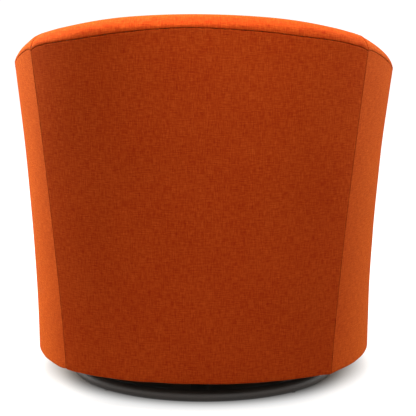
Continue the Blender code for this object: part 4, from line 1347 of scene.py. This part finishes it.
def soft_copy(node, name, slot, edge, body="chair", segments=3):
    """A new piece in place of a node: its mesh, merged, with edges rounded by this much."""
    mesh = nodes[node].data.copy()
    mesh.name = name
    piece = new_piece(name, mesh)
    select_only(piece)
    with edit_mode():
        bpy.ops.mesh.remove_doubles(threshold=MERGE)
    if edge:
        bevel(piece, edge, segments, angle=40)
    finish_piece(piece, body, slot, node)
    return piece

pads = {name: soft_copy(node, name, "foam", edge) for node, name, edge in PADS}

# %% Foam that stays inside its cover
PAD_CLEAR, PAD_END, DECK_PAD_EASE = 0.0038, 0.003, 0.988
BORDER_PAD_IN, BORDER_PAD_DOWN, BORDER_PAD_ROUND, BORDER_PAD_HALF = 0.0028, 0.0022, 0.0095, 0.2605

def drawn_back(pad, middle):
    """Ends the foam a little before the seams and the facing, towards the pad's own middle station."""
    for vertex in pad.data.vertices:
        place = vertex.co
        side = math.copysign(SEAM, place.x)
        seam, beside = wall(side, place.z, 0), wall(mix(side, middle, 0.05), place.z, 0)
        into, own = inward_at(side, place.z).normalized(), (beside - seam).normalized()
        if place.y < WALL_FRONT + 2 * PAD_END:
            place.y += PAD_END
        elif abs((place - seam).cross(into).z) < 2 * PAD_END:
            vertex.co = place + own * PAD_END

def pressed_in(pad, skin):
    """Foam gives way wherever the cloth over it would touch it."""
    for vertex in pad.data.vertices:
        for _ in range(3):
            spot, normal, _, _ = skin.find_nearest(vertex.co)
            short = (vertex.co - spot).dot(normal) + PAD_CLEAR
            if short > 0:
                vertex.co -= normal * short

def trim_border_pad(pad):
    """Rounds the pad's front, so that it stays under the cloth of the border at its edges."""
    front, top = -REACH + BORDER_PAD_IN, DECK_TOP - BORDER_PAD_DOWN
    round_z = top - BORDER_PAD_ROUND
    for vertex in pad.data.vertices:
        place = vertex.co
        deep, below = max(BORDER_PAD_ROUND - (place.y - front), 0), max(place.z - round_z, 0)
        place.x = max(-BORDER_PAD_HALF, min(BORDER_PAD_HALF, place.x))
        place.y = max(place.y, front)
        if deep and below:
            place.z = round_z + min(below, math.sqrt(max(BORDER_PAD_ROUND**2 - deep**2, 0)))
        place.z = min(place.z, top)

for zone, middle in (("back", 0), ("arm_left", SIDE), ("arm_right", -SIDE)):
    drawn_back(pads[f"{zone}_padding"], middle)
    pressed_in(pads[f"{zone}_padding"], SKINS[zone])
trim_border_pad(pads["front_border_padding"])
for vertex in pads["deck_padding"].data.vertices:
    vertex.co.x *= DECK_PAD_EASE
print(len(pads), "pads,", PAD_CLEAR * 1000, "mm clear of their covers")

# %% Felt, dust cloth and straps
POSTS = ["rear_post_left", "rear_post_right"]

for node, name, slot, edge, held, under in (
    ("deck_felt", "spring_felt", "felt", 0.0008, "laid", ["seat_spring_1", "seat_spring_4"]),
    ("dust_cover", "dust_cloth", "black_cloth", 0.0002, "stretched", ["base_rail_back", "base_rail_front"]),
    ("back_webbing_1", "back_strap_1", "webbing", 0.0004, "stretched", POSTS),
    ("back_webbing_2", "back_strap_2", "webbing", 0.0004, "stretched", POSTS),
):
    piece = soft_copy(node, name, slot, edge)

# %% [markdown]
# ## The ring and the cross
#
# The ring is one length of round tube rolled into a circle. Its two ends are welded under the seat, and
# the four arms of the cross are welded to its inside. The weld is a low bead. Bead and tube are one
# powder coat, so they get the same finish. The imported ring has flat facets; a finer torus is rounder.

# %% Ring
ring_low, ring_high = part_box("base_ring")
TUBE = (ring_high.z - ring_low.z) / 2
RING = ring_high.x - TUBE
RING_Z = (ring_high.z + ring_low.z) / 2
BEAD_RADIUS, BEAD_LONG, BEAD_BEVEL, BEAD_OFF = 0.0021, 0.034, 0.0009, 0.0012
BEAD_WAVE, BEAD_WAVE_RUN, BEAD_IN = 0.0003, 0.0011, 0.93

def weld_bead(number, level):
    """A short wavy bead where an arm of the cross meets the ring, above or below the arm."""
    place = (RING - TUBE * BEAD_IN, 0, level)
    bpy.ops.mesh.primitive_cylinder_add(
        vertices=12, radius=BEAD_RADIUS, depth=BEAD_LONG, location=place, rotation=(QUARTER, 0, 0)
    )
    bead = in_place("bead")
    with edit_mode():
        bpy.ops.mesh.subdivide(number_cuts=1)
    bevel(bead, BEAD_BEVEL, angle=60)
    for vertex in bead.data.vertices:
        vertex.co.x += BEAD_WAVE * math.sin(vertex.co.y / BEAD_WAVE_RUN)
    bead.data.transform(Matrix.Rotation(number * QUARTER, 4, "Z"))
    return bead

bpy.ops.mesh.primitive_torus_add(
    major_radius=RING, minor_radius=TUBE, major_segments=216, minor_segments=32, location=(0, 0, RING_Z)
)
ring = in_place("ring_tube")
cross_low, cross_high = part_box("base_cross")
levels = cross_high.z + BEAD_OFF, cross_low.z - BEAD_OFF
join_pieces(ring, [weld_bead(number, level) for number in range(4) for level in levels])
finish_piece(ring, "base", "black_steel", "base_ring")
print("ring", round(2 * (RING + TUBE), 3), "m across")

# %% Glides
GLIDE_FOOT, GLIDE_STEM, GLIDE_BEVEL = 0.0048, 0.0030, 0.0003

def glide_pad(number):
    """A nylon pad pressed into the underside of the ring, with a small flat foot whose edges are rounded."""
    low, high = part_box(f"glide_{number}")
    middle = (low + high) / 2
    foot = 2 * RING_Z - ring_high.z
    place = (middle.x, middle.y, foot / 2)
    bpy.ops.mesh.primitive_cylinder_add(vertices=32, radius=GLIDE_FOOT, depth=foot, location=place)
    pad = in_place(f"glide_pad_{number}")
    with edit_mode():
        pick(pad, lambda spot: spot.z > foot / 2)
        bpy.ops.mesh.inset(thickness=GLIDE_FOOT - GLIDE_STEM)
        bpy.ops.mesh.extrude_region_move(TRANSFORM_OT_translate={"value": (0, 0, high.z - foot)})
    bevel(pad, GLIDE_BEVEL)
    finish_piece(pad, "base", "nylon", f"glide_{number}")

for number in range(1, 5):
    glide_pad(number)

# %% Cross, plates and rivet with softened edges
for node, name, slot, edge, body in (
    ("base_cross", "cross", "black_steel", 0.0012, "base"),
    ("lower_bearing_plate", "lower_plate", "zinc_steel", 0.0006, "base"),
    ("centre_rivet", "rivet", "zinc_steel", 0.0008, "base"),
    ("upper_bearing_plate", "upper_plate", "zinc_steel", 0.0006, "chair"),
):
    soft_copy(node, name, slot, edge, body, segments=2)
